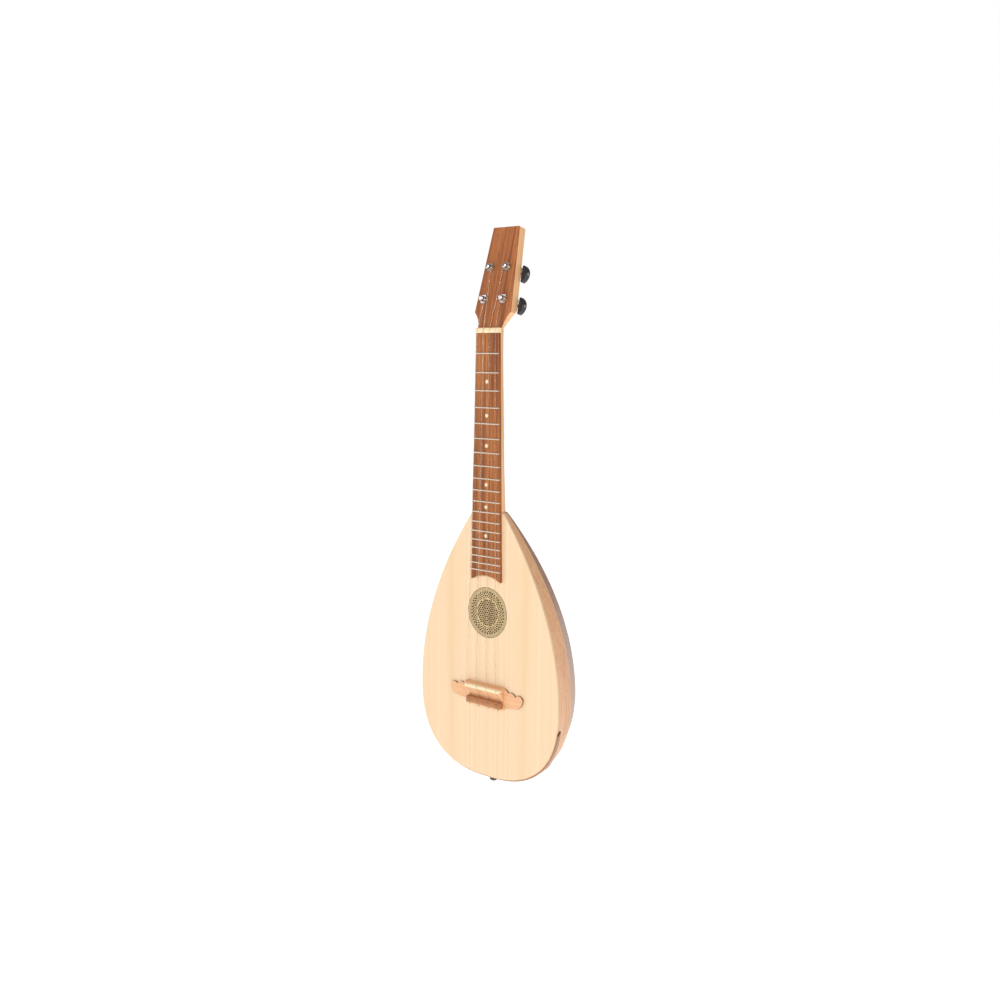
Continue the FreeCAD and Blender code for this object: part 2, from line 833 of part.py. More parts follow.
veneer_holes = compound("veneer_holes", *head_holes[::2])
veneer_cut = cut("veneer_bored", veneer_sheet, veneer_holes)
veneer_cut.Placement = head_place
keep(veneer_cut, "head_veneer")

# ---------------------------------------------------------------- nut

def string_x(index, spacing):
    return (index - 1.5) * size(spacing)


nut_back_drop = math.tan(math.radians(size("head_tilt") + 4.0))
nut_blank = padded_body(
    "nut_blank", "YZ_Plane",
    [
        (TOP_Y, NUT_Z),
        (TOP_Y + " - Sizes.nut_height", NUT_Z),
        (TOP_Y + " - Sizes.nut_height + 0.5", NUT_Z + " + 0.6 * Sizes.nut_thickness"),
        (TOP_Y + " - 0.72 * Sizes.nut_height", NUT_Z + " + Sizes.nut_thickness"),
        (TOP_Y, NUT_Z + " + Sizes.nut_thickness"),
    ],
    "2 * Sizes.nut_half_width", symmetric=True,
)
slot_y = top_y - size("nut_slot_height")
break_z = nut_z + size("nut_thickness") / 3.0
slots = []
for index, (string, gauge) in enumerate(STRINGS):
    half = gauge / 2.0 + size("slot_gap")
    x = string_x(index, "string_spacing_nut") - half
    rear = nut_z + 2.0 * size("nut_thickness")
    corners = [
        Vector(x, top_y - 2.0 * size("nut_height"), nut_z - 1.0),
        Vector(x, slot_y, nut_z - 1.0),
        Vector(x, slot_y, break_z),
        Vector(x, slot_y + (rear - break_z) * nut_back_drop, rear),
        Vector(x, top_y - 2.0 * size("nut_height"), rear),
    ]
    slots.append(
        Part.Face(Part.makePolygon(corners + [corners[0]])).extrude(Vector(2.0 * half, 0, 0))
    )
keep(cut("nut_slotted", nut_blank, solid_feature("nut_slots", Part.makeCompound(slots))), "nut")

# ---------------------------------------------------------------- bridge, saddle and tie block

def bridge_plate():
    """A moustache plate: two scallops and a round lobe each side, with a pointed corner."""
    reach = size("bridge_half_length")
    edges = []
    for side in (1, -1):
        def at(x, z):
            return Vector(side * x * reach, top_y, saddle_z + z)

        shoulder, first, second = at(0.455, 1.4), at(0.615, -3.5), at(0.645, -2.9)
        third, notch, tip = at(0.80, -6.4), at(0.815, -6.2), at(1.0, -9.4)
        corner, inner, foot = at(0.865, -20.4), at(0.52, -22.6), at(0.50, -26.0)
        edges.append(Part.LineSegment(at(0, 1.4), shoulder).toShape())
        edges.append(Part.Arc(shoulder, at(0.56, -0.3), first).toShape())
        edges.append(Part.LineSegment(first, second).toShape())
        edges.append(Part.Arc(second, at(0.745, -3.4), third).toShape())
        edges.append(Part.LineSegment(third, notch).toShape())
        edges.append(Part.Arc(notch, at(0.94, -4.6), tip).toShape())
        edges.append(Part.Arc(tip, at(0.965, -15.2), corner).toShape())
        edges.append(Part.Arc(corner, at(0.69, -21.2), inner).toShape())
        edges.append(Part.LineSegment(inner, foot).toShape())
        edges.append(Part.LineSegment(foot, at(0, -26.0)).toShape())
    face = Part.Face(Part.Wire(Part.sortEdges(edges)[0]))
    return face.extrude(Vector(0, -size("bridge_plate_thickness"), 0))


SADDLE_BACK = SADDLE_Z + " - Sizes.saddle_compensation - Sizes.saddle_thickness / 2"
SADDLE_FRONT = SADDLE_Z + " - Sizes.saddle_compensation + Sizes.saddle_thickness / 2"
SLOT_FLOOR = TOP_Y + " - Sizes.saddle_slot_depth"
BLOCK_TOP = TOP_Y + " - Sizes.bridge_block_height"
bridge_block = padded_body(
    "bridge_block", "YZ_Plane",
    [
        (TOP_Y, SADDLE_FRONT + " + 2.4"),
        (TOP_Y + " - Sizes.bridge_plate_thickness - 1", SADDLE_FRONT + " + 2.4"),
        (BLOCK_TOP, SADDLE_FRONT + " + 1.2"),
        (BLOCK_TOP, SADDLE_FRONT),
        (SLOT_FLOOR, SADDLE_FRONT),
        (SLOT_FLOOR, SADDLE_BACK),
        (BLOCK_TOP, SADDLE_BACK),
        (BLOCK_TOP, SADDLE_BACK + " - 0.8"),
        (TOP_Y + " - Sizes.bridge_plate_thickness - 0.6",
         SADDLE_Z + " - Sizes.tie_block_setback + 1"),
        (TOP_Y, SADDLE_Z + " - Sizes.tie_block_setback + 1"),
    ],
    "2 * Sizes.bridge_block_half_length", symmetric=True,
)
bridge_blank = fuse("bridge_blank", solid_feature("bridge_plate", bridge_plate()), bridge_block)
slot_trim = box(
    "slot_trim", "2 * Sizes.saddle_half_length", "Sizes.bridge_block_height * 2",
    "Sizes.saddle_thickness", "-Sizes.saddle_half_length",
    SLOT_FLOOR + " - Sizes.bridge_block_height * 2", SADDLE_BACK,
)
keep(cut("bridge_slotted", bridge_blank, slot_trim), "bridge")

saddle_bar = box(
    "saddle_bar", "2 * Sizes.saddle_half_length",
    "Sizes.saddle_height - Sizes.saddle_slot_depth - Sizes.saddle_thickness / 2",
    "Sizes.saddle_thickness", "-Sizes.saddle_half_length",
    TOP_Y + " - Sizes.saddle_height + Sizes.saddle_thickness / 2", SADDLE_BACK,
)
saddle_crown = cylinder(
    "saddle_crown", "Sizes.saddle_thickness / 2", "2 * Sizes.saddle_half_length",
    Placement(
        Vector(
            -size("saddle_half_length"),
            top_y - size("saddle_height") + size("saddle_thickness") / 2.0,
            saddle_z - size("saddle_compensation"),
        ),
        Rotation(Vector(0, 1, 0), 90),
    ),
)
keep(fuse("saddle_whole", saddle_bar, saddle_crown), "saddle")

tie_bar = box(
    "tie_bar", "2 * Sizes.tie_block_half_length",
    "Sizes.tie_block_height - Sizes.bridge_plate_thickness", "Sizes.tie_block_width",
    "-Sizes.tie_block_half_length", TOP_Y + " - Sizes.tie_block_height",
    SADDLE_Z + " - Sizes.tie_block_setback - Sizes.tie_block_width",
)
doc.recompute()
plate_face_y = top_y - size("bridge_plate_thickness")
tie_blank = doc.addObject("Part::Fillet", "tie_blank")
tie_blank.Base = tie_bar
tie_blank.Edges = [
    (number, size("tie_block_rounding"), size("tie_block_rounding"))
    for number, edge in enumerate(tie_bar.Shape.Edges, start=1)
    if edge.BoundBox.YMin < plate_face_y - size("tie_block_rounding")
]
tie_y = top_y - size("tie_hole_height")
tie_rear_z = saddle_z - size("tie_block_setback") - size("tie_block_width")
tie_holes = compound("tie_holes", *[
    cylinder(
        "tie_hole_" + string, "Sizes.tie_hole_radius", "2 * Sizes.tie_block_width",
        Placement(
            Vector(string_x(index, "string_spacing_saddle"), tie_y,
                   tie_rear_z - size("tie_block_width") / 2.0),
            Rotation(),
        ),
    )
    for index, (string, gauge) in enumerate(STRINGS)
])
keep(cut("tie_drilled", tie_blank, tie_holes), "tie_block")

# ---------------------------------------------------------------- tuning machines

wheel_n = head_back + size("gear_plane_depth")
wheel_tip = size("gear_module") * (size("gear_teeth") + 4.0 / 3.0) / 2.0
wheel_root = size("gear_module") * (size("gear_teeth") - 16.0 / 9.0) / 2.0
worm_drop = size("gear_module") * size("gear_teeth") / 2.0 + size("worm_pitch_radius")
thread_pitch = math.pi * size("gear_module")
thread_crest = size("worm_pitch_radius") + 2.0 / 3.0 * size("gear_module")
thread_root = size("worm_pitch_radius") - 8.0 / 9.0 * size("gear_module")
THREAD_TURNS = 5
thread_reach = thread_pitch * (THREAD_TURNS + 1.0) / 2.0
cavity_gap = 0.35
worm_cavity = thread_crest + cavity_gap
wheel_cavity = wheel_tip + cavity_gap
housing_inner = thread_reach + cavity_gap
housing_outer = housing_inner + size("housing_wall")
along_x = Rotation(Vector(0, 1, 0), 90)
worm_turned = Rotation(Vector(1, 0, 1), 180)


def turned(parts):
    """Coaxial cylinders along X, each from its start, end and radius, joined."""
    whole = None
    for start, finish, radius in parts:
        low = min(start, finish)
        piece = Part.makeCylinder(radius, abs(finish - start), Vector(low, 0, 0), Vector(1, 0, 0))
        whole = piece if whole is None else whole.fuse(piece)
    return whole.removeSplitter()


def worm_thread():
    """A right-hand single thread whose crests stand half a pitch each side of the middle."""
    length = thread_pitch * THREAD_TURNS
    helix = Part.makeHelix(thread_pitch, length, thread_root)
    base, crest = 0.20 * thread_pitch, 0.09 * thread_pitch
    under = thread_root - 0.1
    corners = [
        Vector(under, 0, -base), Vector(thread_crest, 0, -crest),
        Vector(thread_crest, 0, crest), Vector(under, 0, base),
    ]
    profile = Part.Wire(Part.makePolygon(corners + [corners[0]]))
    thread = Part.Wire(helix).makePipeShell([profile], True, True)
    thread.Placement = Placement(Vector(-length / 2.0, 0, 0), worm_turned)
    return thread


def worm_shaft(side, reach):
    """Worm, journals and the flatted end that carries the button, on the X axis."""
    radius = size("worm_shaft_radius")
    stub_end = reach + size("shaft_stub_length")
    tapping = 4.0
    core = turned([
        (-side * (housing_outer - 0.2), -side * (housing_inner - 0.1), size("pivot_radius")),
        (-side * (housing_inner - 0.1), side * (housing_inner - 0.1), thread_root),
        (side * (housing_inner - 0.2), side * stub_end, radius),
        (side * (housing_outer + 0.15), side * (reach - 0.05), radius + size("collar_width")),
    ])
    tapped = Part.makeCylinder(
        size("button_screw_radius"), tapping, Vector(side * stub_end, 0, 0), Vector(-side, 0, 0)
    )
    return core.fuse(worm_thread()).cut(tapped)


TOOTH_ROOT_WIDTH = 0.62
TOOTH_TIP_WIDTH = 0.30


def worm_wheel():
    """Fourteen straight teeth on a disc about the Y axis, one tooth towards the worm."""
    teeth = int(size("gear_teeth"))
    root_half = TOOTH_ROOT_WIDTH / 2.0 / wheel_root
    tip_half = TOOTH_TIP_WIDTH / 2.0 / wheel_tip
    corners = []
    for i in range(teeth):
        middle_turn = -math.pi / 2.0 + 2.0 * math.pi * i / teeth
        for radius, turn in (
            (wheel_root, middle_turn - root_half), (wheel_tip, middle_turn - tip_half),
            (wheel_tip, middle_turn + tip_half), (wheel_root, middle_turn + root_half),
        ):
            corners.append(Vector(radius * math.cos(turn), 0, radius * math.sin(turn)))
    face = Part.Face(Part.makePolygon(corners + [corners[0]]))
    width = size("gear_width")
    disc = face.extrude(Vector(0, width, 0))
    disc.translate(Vector(0, -width / 2.0, 0))
    bore = Part.makeCylinder(size("wheel_seat_radius"), 3.0 * width, Vector(0, -1.5 * width, 0),
                             Vector(0, 1, 0))
    return disc.cut(bore)


def post():
    """String post about the Y axis: domed front, string hole, seat for the wheel, pivot."""
    radius = size("post_radius")
    seat = wheel_n - size("gear_width") / 2.0
    behind = wheel_n + size("gear_width") / 2.0
    pivot_end = head_back + size("housing_depth") - 0.3
    profile = [
        Vector(0, -size("post_height"), 0),
        Vector(0.6 * radius, -size("post_height"), 0),
        Vector(radius, -size("post_height") + 0.35 * radius, 0),
        Vector(radius, seat, 0),
        Vector(size("wheel_seat_radius"), seat, 0),
        Vector(size("wheel_seat_radius"), behind, 0),
        Vector(size("pivot_radius"), behind, 0),
        Vector(size("pivot_radius"), pivot_end, 0),
        Vector(0, pivot_end, 0),
    ]
    face = Part.Face(Part.makePolygon(profile + [profile[0]]))
    whole = face.revolve(Vector(0, 0, 0), Vector(0, 1, 0), 360)
    hole = Part.makeCylinder(
        size("post_hole_radius"), 4.0 * radius,
        Vector(-2.0 * radius, -size("post_height") + 2.2, 0), Vector(1, 0, 0),
    )
    return whole.cut(hole)


def housing(side):
    """The closed gear case: walls, cavity open to the wood, bearings and a screw ear."""
    wall = size("housing_wall")
    depth = size("housing_depth")
    low = -worm_drop - worm_cavity - wall
    high = wheel_cavity + wall
    case = Part.makeBox(2.0 * housing_outer, depth, high - low,
                        Vector(-housing_outer, head_back, low))
    ear_width = size("ear_width")
    ear = Part.makeBox(ear_width, wall, ear_reach + size("ear_overhang") - high + wall,
                       Vector(-ear_width / 2.0, head_back, high - wall))
    whole = case.fuse(ear).removeSplitter()
    upright = [e for e in whole.Edges
               if abs(e.Length - depth) < 0.01 and e.BoundBox.YLength > 0.9 * depth]
    whole = whole.makeFillet(min(1.5, wall), upright)
    cavity_depth = depth - wall
    hollow = Part.makeCylinder(wheel_cavity, cavity_depth, Vector(0, head_back, 0), Vector(0, 1, 0))
    channel = Part.makeBox(2.0 * housing_inner, cavity_depth, 2.0 * worm_cavity,
                           Vector(-housing_inner, head_back, -worm_drop - worm_cavity))
    pivot_radius = size("pivot_radius") + size("running_gap")
    pivot = Part.makeCylinder(pivot_radius, depth - 0.2, Vector(0, head_back, 0),
                              Vector(0, 1, 0))
    shaft_bore = Part.makeCylinder(
        size("worm_shaft_radius") + size("running_gap"), housing_outer + 1.0,
        Vector(0 if side > 0 else -housing_outer - 1.0, wheel_n, -worm_drop), Vector(1, 0, 0),
    )
    tail_bore = Part.makeCylinder(
        pivot_radius, housing_outer + 1.0,
        Vector(0 if side < 0 else -housing_outer - 1.0, wheel_n, -worm_drop), Vector(1, 0, 0),
    )
    screw = Part.makeCylinder(size("mounting_screw_radius"), 3.0 * depth,
                              Vector(0, head_back - depth, ear_reach), Vector(0, 1, 0))
    for tool in (hollow, channel, pivot, shaft_bore, tail_bore, screw):
        whole = whole.cut(tool)
    return whole


BUTTON_SEAT = 0.9


def button(side, reach):
    """A half-moon button on the X axis, its flat towards the head, fullest near the nut end."""
    half = size("button_height") / 2.0
    width = size("button_width")
    thick = size("button_thickness")
    flat = side * reach
    shoulder = side * (reach + size("button_shoulder"))
    fullest = Vector(side * (reach + width), 0, -size("button_sag"))
    outline = [
        Part.LineSegment(Vector(flat, 0, half), Vector(flat, 0, -half)).toShape(),
        Part.LineSegment(Vector(flat, 0, -half), Vector(shoulder, 0, -half)).toShape(),
        Part.Arc(Vector(shoulder, 0, -half), fullest, Vector(shoulder, 0, half)).toShape(),
        Part.LineSegment(Vector(shoulder, 0, half), Vector(flat, 0, half)).toShape(),
    ]
    blank = Part.Face(Part.Wire(outline)).extrude(Vector(0, thick, 0))
    blank.translate(Vector(0, -thick / 2.0, 0))
    blank = blank.makeFillet(size("button_edge_radius"), blank.Edges)
    outward = Vector(side, 0, 0)
    bore = Part.makeCylinder(size("worm_shaft_radius"), size("shaft_stub_length") + 1.0,
                             Vector(side * (reach - 1.0), 0, 0), outward)
    screw = Part.makeCylinder(size("button_screw_radius"), 2.0 * width, Vector(flat, 0, 0), outward)
    seat = Part.makeCylinder(size("button_screw_head_radius") + 0.3, width,
                             Vector(side * (reach + width - BUTTON_SEAT), 0, 0), outward)
    return blank.cut(bore).cut(screw).cut(seat)


def button_screw(side, reach):
    """A small pan-head screw from the button's outer face into the shaft."""
    seat = side * (reach + size("button_width") - BUTTON_SEAT)
    return turned([
        (side * (reach + size("shaft_stub_length") / 2.0), seat, size("button_screw_radius")),
        (seat, seat + side * 0.9, size("button_screw_head_radius")),
    ])


def bushing():
    """Hexagonal front nut with its sleeve through the head, bored for the post."""
    flat = size("bushing_flat_radius")
    corner = flat / math.cos(math.pi / 6.0)
    hexagon = star_polygon(0, 0, corner, 6, 0)
    thickness = size("bushing_flange_thickness")
    flange = Part.Face(hexagon).extrude(Vector(0, thickness, 0))
    flange.translate(Vector(0, -thickness, 0))
    sleeve = Part.makeCylinder(size("bushing_sleeve_radius"), size("bushing_sleeve_length"),
                               Vector(0, 0, 0), Vector(0, 1, 0))
    bore = Part.makeCylinder(size("post_radius") + size("running_gap"), 40.0,
                             Vector(0, -20.0, 0), Vector(0, 1, 0))
    return flange.fuse(sleeve).cut(bore)


def mounting_screw():
    """A round-head wood screw through the case's ear, driven from behind the head."""
    seat = head_back + size("housing_wall")
    tip = size("mounting_screw_tip") + size("head_veneer_thickness")
    shank = Part.makeCylinder(size("mounting_screw_radius"), seat - tip, Vector(0, tip, 0),
                              Vector(0, 1, 0))
    cap = Part.makeCone(2.1, 1.2, 1.0, Vector(0, seat, 0), Vector(0, 1, 0))
    return shank.fuse(cap)


bushings, screws = [], []
for string, side, row in TUNERS:
    reach = size(row + "_button_reach")
    post_place = head_place.multiply(Placement(post_centre(side, row), Rotation()))
    worm_place = head_place.multiply(
        Placement(post_centre(side, row, wheel_n) - Vector(0, 0, worm_drop), Rotation())
    )
    wheel_place = head_place.multiply(Placement(post_centre(side, row, wheel_n), Rotation()))
    pieces = (
        ("tuner_housing_", housing(side), post_place),
        ("worm_shaft_", worm_shaft(side, reach), worm_place),
        ("button_", button(side, reach), worm_place),
        ("button_screw_", button_screw(side, reach), worm_place),
        ("post_", post(), post_place),
        ("worm_wheel_", worm_wheel(), wheel_place),
    )
    for prefix, shape, place in pieces:
        piece = solid_feature("make_" + prefix + string, shape)
        piece.Placement = place
        keep(piece, prefix + string)
    nut_piece = bushing()
    nut_piece.translate(post_centre(side, row))
    bushings.append(nut_piece)
    screw_piece = mounting_screw()
    screw_piece.translate(screw_centre(side, row, 0.0))
    screws.append(screw_piece)
for label, shapes in (("tuner_bushings", bushings), ("tuner_screws", screws)):
    group = solid_feature("make_" + label, Part.makeCompound(shapes))
    group.Placement = head_place
    keep(group, label)

# ---------------------------------------------------------------- strings

def rounded_path(points, radii):
    """Straight runs joined by arcs that touch both, one radius for each inner corner."""
    edges = []
    start = points[0]
    for before, corner, after, radius in zip(points, points[1:], points[2:], radii):
        into = (corner - before).normalize()
        away = (after - corner).normalize()
        turn = into.getAngle(away)
        trim = radius * math.tan(turn / 2.0)
        first = corner - into * trim
        last = corner + away * trim
        bisector = (away - into).normalize()
        middle_point = corner + bisector * (radius / math.cos(turn / 2.0) - radius)
        edges.append(Part.LineSegment(start, first).toShape())
        edges.append(Part.Arc(first, middle_point, last).toShape())
        start = last
    edges.append(Part.LineSegment(start, points[-1]).toShape())
    return Part.Wire(edges)


def tube(path, radius):
    start = path.Edges[0]
    heading = start.tangentAt(start.FirstParameter)
    circle = Part.makeCircle(radius, start.firstVertex().Point, heading)
    return path.makePipeShell([Part.Wire(circle)], True, False)


winding_height = 4.6
WINDING_TURNS = 2.6


def tangent_heading(point, centre, radius, side):
    """Heading in the YZ plane from a point to where it grazes a circle on one side."""
    dy, dz = centre.y - point.y, centre.z - point.z
    return math.atan2(dz, dy) + side * math.asin(radius / math.hypot(dy, dz))


def over_round(before, centre, radius, after):
    """Where the two straight runs that graze the front of a round crest would meet."""
    first = tangent_heading(before, centre, radius, 1)
    second = tangent_heading(after, centre, radius, -1)
    dy, dz = after.y - before.y, after.z - before.z
    across = math.sin(second) * dy - math.cos(second) * dz
    along = across / math.sin(second - first)
    return Vector(centre.x, before.y + along * math.cos(first), before.z + along * math.sin(first))


def string_route(index, gauge, side, row):
    """From behind the tie block over the saddle and the nut to its post's winding."""
    x_saddle = string_x(index, "string_spacing_saddle")
    x_nut = string_x(index, "string_spacing_nut")
    over_nut = Vector(x_nut, slot_y - gauge / 2.0 - size("slot_gap"), break_z)
    leave_hole = Vector(x_saddle, tie_y, saddle_z - size("tie_block_setback") + 1.3)
    crown = size("saddle_thickness") / 2.0
    crown_centre = Vector(x_saddle, top_y - size("saddle_height") + crown,
                          saddle_z - size("saddle_compensation"))
    crest = saddle_bend + gauge / 2.0
    over_saddle = over_round(leave_hole, crown_centre, crest, over_nut)
    local = head_place.inverse().multVec(over_nut)
    centre = post_centre(side, row)
    wrap = size("post_radius") + size("running_gap") + gauge / 2.0
    dx, dz = centre.x - local.x, centre.z - local.z
    reach = math.hypot(dx, dz)
    heading = math.atan2(dz, dx) + side * math.asin(wrap / reach)
    run_length = math.sqrt(reach**2 - wrap**2)
    touch = Vector(local.x + run_length * math.cos(heading), -winding_height,
                   local.z + run_length * math.sin(heading))
    return [
        Vector(x_saddle, tie_y, tie_rear_z - 0.6),
        leave_hole,
        over_saddle,
        over_nut,
        head_place.multVec(touch),
    ]


saddle_bend = size("saddle_thickness") / 2.0 + size("running_gap") / 2.0
hole_bend = 3.0
nut_bend = 5.0
for index, ((string, gauge), (same, side, row)) in enumerate(zip(STRINGS, TUNERS)):
    route = string_route(index, gauge, side, row)
    bends = (hole_bend, saddle_bend + gauge / 2.0, nut_bend)
    line = tube(rounded_path(route, bends), gauge / 2.0)
    inner = size("post_radius") + size("running_gap")
    height = WINDING_TURNS * gauge
    front = post_centre(side, row, -winding_height - height / 2.0)
    winding = Part.makeCylinder(inner + gauge, height, front, Vector(0, 1, 0))
    winding = winding.cut(Part.makeCylinder(inner, height, front, Vector(0, 1, 0)))
    winding.Placement = head_place.multiply(winding.Placement)
    keep(solid_feature("make_string_" + string, line.fuse(winding)), "string_" + string)

# ---------------------------------------------------------------- check and write

doc.recompute()
faults = []
for obj in doc.Objects:
    if "Invalid" in obj.State or "Error" in obj.State:
        faults.append("%s is %s" % (obj.Label, obj.State))
for node in nodes:
    if node.Shape.isNull() or not node.Shape.isValid():
        faults.append("%s has no valid shape" % node.Label)
if faults:
    raise RuntimeError("; ".join(faults))

os.makedirs("parts", exist_ok=True)
for node in nodes:
    node.Shape.exportStep(os.path.join("parts", node.Label + ".step"))
print("%d sub-parts written" % len(nodes))
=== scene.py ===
import json
import math

import bmesh
import bpy
from mathutils import Matrix, Vector


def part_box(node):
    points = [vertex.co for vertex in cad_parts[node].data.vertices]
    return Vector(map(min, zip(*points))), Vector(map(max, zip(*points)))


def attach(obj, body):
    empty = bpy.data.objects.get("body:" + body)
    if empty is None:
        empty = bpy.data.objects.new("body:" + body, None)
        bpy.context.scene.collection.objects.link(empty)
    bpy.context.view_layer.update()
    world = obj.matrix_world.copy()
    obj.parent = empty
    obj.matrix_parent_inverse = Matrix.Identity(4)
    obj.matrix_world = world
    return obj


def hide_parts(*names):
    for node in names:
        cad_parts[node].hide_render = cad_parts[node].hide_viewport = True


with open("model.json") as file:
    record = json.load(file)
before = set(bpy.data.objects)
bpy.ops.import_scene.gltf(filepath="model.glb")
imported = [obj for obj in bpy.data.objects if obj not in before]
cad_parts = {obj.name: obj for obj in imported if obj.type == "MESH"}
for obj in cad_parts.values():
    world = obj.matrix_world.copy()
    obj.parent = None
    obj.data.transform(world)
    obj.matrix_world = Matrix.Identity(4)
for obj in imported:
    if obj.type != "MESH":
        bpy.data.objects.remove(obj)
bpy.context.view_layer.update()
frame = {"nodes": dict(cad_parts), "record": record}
nodes = frame["nodes"]
behaviour = frame["record"]["behaviour"]
scene = bpy.context.scene

# ---- Camera: a long studio lens, a little above the instrument's middle and well round to
# its treble side, so that the soundboard and the outer staves both show.
LENS_MM = 42.355
CAMERA_PLACE = (0.9363, -1.0826, 0.5204)
camera_data = bpy.data.cameras.new("camera")
camera_data.sensor_width = 36.0
camera_data.lens = LENS_MM
camera_data.clip_start = 0.05
camera_data.clip_end = 50.0
camera = bpy.data.objects.new("camera", camera_data)
scene.collection.objects.link(camera)
camera_right = Vector((0.7579, 0.6524, 0.0089))
camera_up = Vector((-0.0848, 0.0849, 0.9928))
camera_back = camera_right.cross(camera_up)
camera_turn = Matrix((camera_right, camera_up, camera_back)).transposed().to_4x4()
camera.matrix_world = Matrix.Translation(CAMERA_PLACE) @ camera_turn
scene.camera = camera


def linear(hex_colour):
    """The linear red, green, blue and alpha of an sRGB hex colour."""
    channels = [int(hex_colour[i:i + 2], 16) / 255.0 for i in (1, 3, 5)]
    straight = [c / 12.92 if c <= 0.04045 else ((c + 0.055) / 1.055) ** 2.4 for c in channels]
    return (*straight, 1.0)


def add(tree, kind, inputs, **settings):
    """Adds one shader node: inputs are values or sockets to link, settings are its properties."""
    node = tree.nodes.new("ShaderNode" + kind)
    stops = settings.pop("stops", None)
    for name, value in settings.items():
        setattr(node, name, value)
    for socket, value in inputs.items():
        if isinstance(value, bpy.types.NodeSocket):
            tree.links.new(value, node.inputs[socket])
        else:
            node.inputs[socket].default_value = value
    if stops:
        ramp = node.color_ramp
        while len(ramp.elements) < len(stops):
            ramp.elements.new(1.0)
        for element, (position, colour) in zip(ramp.elements, stops):
            element.position = position
            element.color = linear(colour) if isinstance(colour, str) else (*[colour] * 3, 1.0)
    return node


def new_material(name):
    """An empty node material with its output, and the coordinates every pattern starts from."""
    material = bpy.data.materials.new(name)
    material.use_nodes = True
    tree = material.node_tree
    tree.nodes.clear()
    output = tree.nodes.new("ShaderNodeOutputMaterial")
    coordinates = add(tree, "TexCoord", {})
    return material, tree, output.inputs["Surface"], coordinates


def dress(material, *names):
    """Gives CAD nodes their finish."""
    for name in names:
        slots = nodes[name].data.materials
        slots.clear()
        slots.append(material)


# ---- Studio: a plain white room. One big soft box stands beside the camera, a weak one on the
# bass side, and the pale floor lies well below the hanging instrument.
scene.view_settings.view_transform = "Standard"
scene.view_settings.look = "None"

world = bpy.data.worlds.new("white_room")
scene.world = world
world.use_nodes = True
room = world.node_tree
room.nodes.clear()
seen = add(room, "Background", {"Color": (1.0, 1.0, 1.0, 1.0), "Strength": 1.0})
direction = add(room, "TexCoord", {})
height = add(room, "SeparateXYZ", {0: direction.outputs["Generated"]})
# the walls fall off towards the ceiling and the floor, which gives polished metal its contrast
walls = add(room, "ValToRGB", {0: height.outputs["Z"]},
            stops=[(0.0, "#FFFDFA"), (0.30, "#C9C4BD"), (0.75, "#F4F1EC")])
ROOM_LIGHT = 0.46
lit = add(room, "Background", {"Color": walls.outputs[0], "Strength": ROOM_LIGHT})
ray = add(room, "LightPath", {})
both = add(room, "MixShader", {
    0: ray.outputs["Is Camera Ray"], 1: lit.outputs[0], 2: seen.outputs[0]})
room_output = room.nodes.new("ShaderNodeOutputWorld")
room.links.new(both.outputs[0], room_output.inputs["Surface"])


def soft_box(name, place, target, size, power):
    """A square area light of a given size in metres and power in watts, turned to its target."""
    light = bpy.data.lights.new(name, "AREA")
    light.size = size
    light.energy = power
    lamp = bpy.data.objects.new(name, light)
    scene.collection.objects.link(lamp)
    lamp.location = place
    lamp.rotation_euler = (Vector(target) - Vector(place)).to_track_quat("-Z", "Y").to_euler()


MIDDLE = (0.0, 0.0, 0.33)
FLOOR_DROP = 0.32
soft_box("key_soft_box", (1.35, -1.95, 1.25), MIDDLE, 1.1, 31.0)
soft_box("fill_soft_box", (-1.8, -1.6, 0.9), MIDDLE, 1.4, 8.0)

floor_mesh = bpy.data.meshes.new("studio_floor")
floor_shape = bmesh.new()
bmesh.ops.create_grid(floor_shape, x_segments=1, y_segments=1, size=8.0)
bmesh.ops.translate(floor_shape, verts=floor_shape.verts, vec=(0.0, 0.0, -FLOOR_DROP))
floor_shape.to_mesh(floor_mesh)
floor_shape.free()
floor = bpy.data.objects.new("studio_floor", floor_mesh)
scene.collection.objects.link(floor)
paper, tree, surface, coordinates = new_material("white_paper_sweep")
shader = add(tree, "BsdfPrincipled", {
    "Base Color": linear("#F6F5F2"), "Roughness": 0.9,
    "Emission Color": linear("#FFFFFF"), "Emission Strength": 0.8,
})
tree.links.new(shader.outputs[0], surface)
floor_mesh.materials.append(paper)

# ---- Soundboard: two bookmatched halves of close-grained spruce, 2.4 mm thick, glued along
# the middle and finished with a thin satin lacquer that has warmed to cream.
spruce, tree, surface, coordinates = new_material("quartersawn_spruce_satin_lacquer")
RING_SPACING = 0.0016
place = coordinates.outputs["Object"]
split = add(tree, "SeparateXYZ", {0: place})
mirrored = add(tree, "Math", {0: split.outputs["X"]}, operation="ABSOLUTE")
bookmatched = add(tree, "CombineXYZ", {
    "X": mirrored.outputs[0], "Y": split.outputs["Y"], "Z": split.outputs["Z"]})
drift_scale = add(tree, "Mapping", {0: bookmatched.outputs[0], "Scale": (22.0, 1.0, 3.0)})
drift = add(tree, "TexNoise", {"Vector": drift_scale.outputs[0], "Scale": 1.0, "Detail": 3.0})
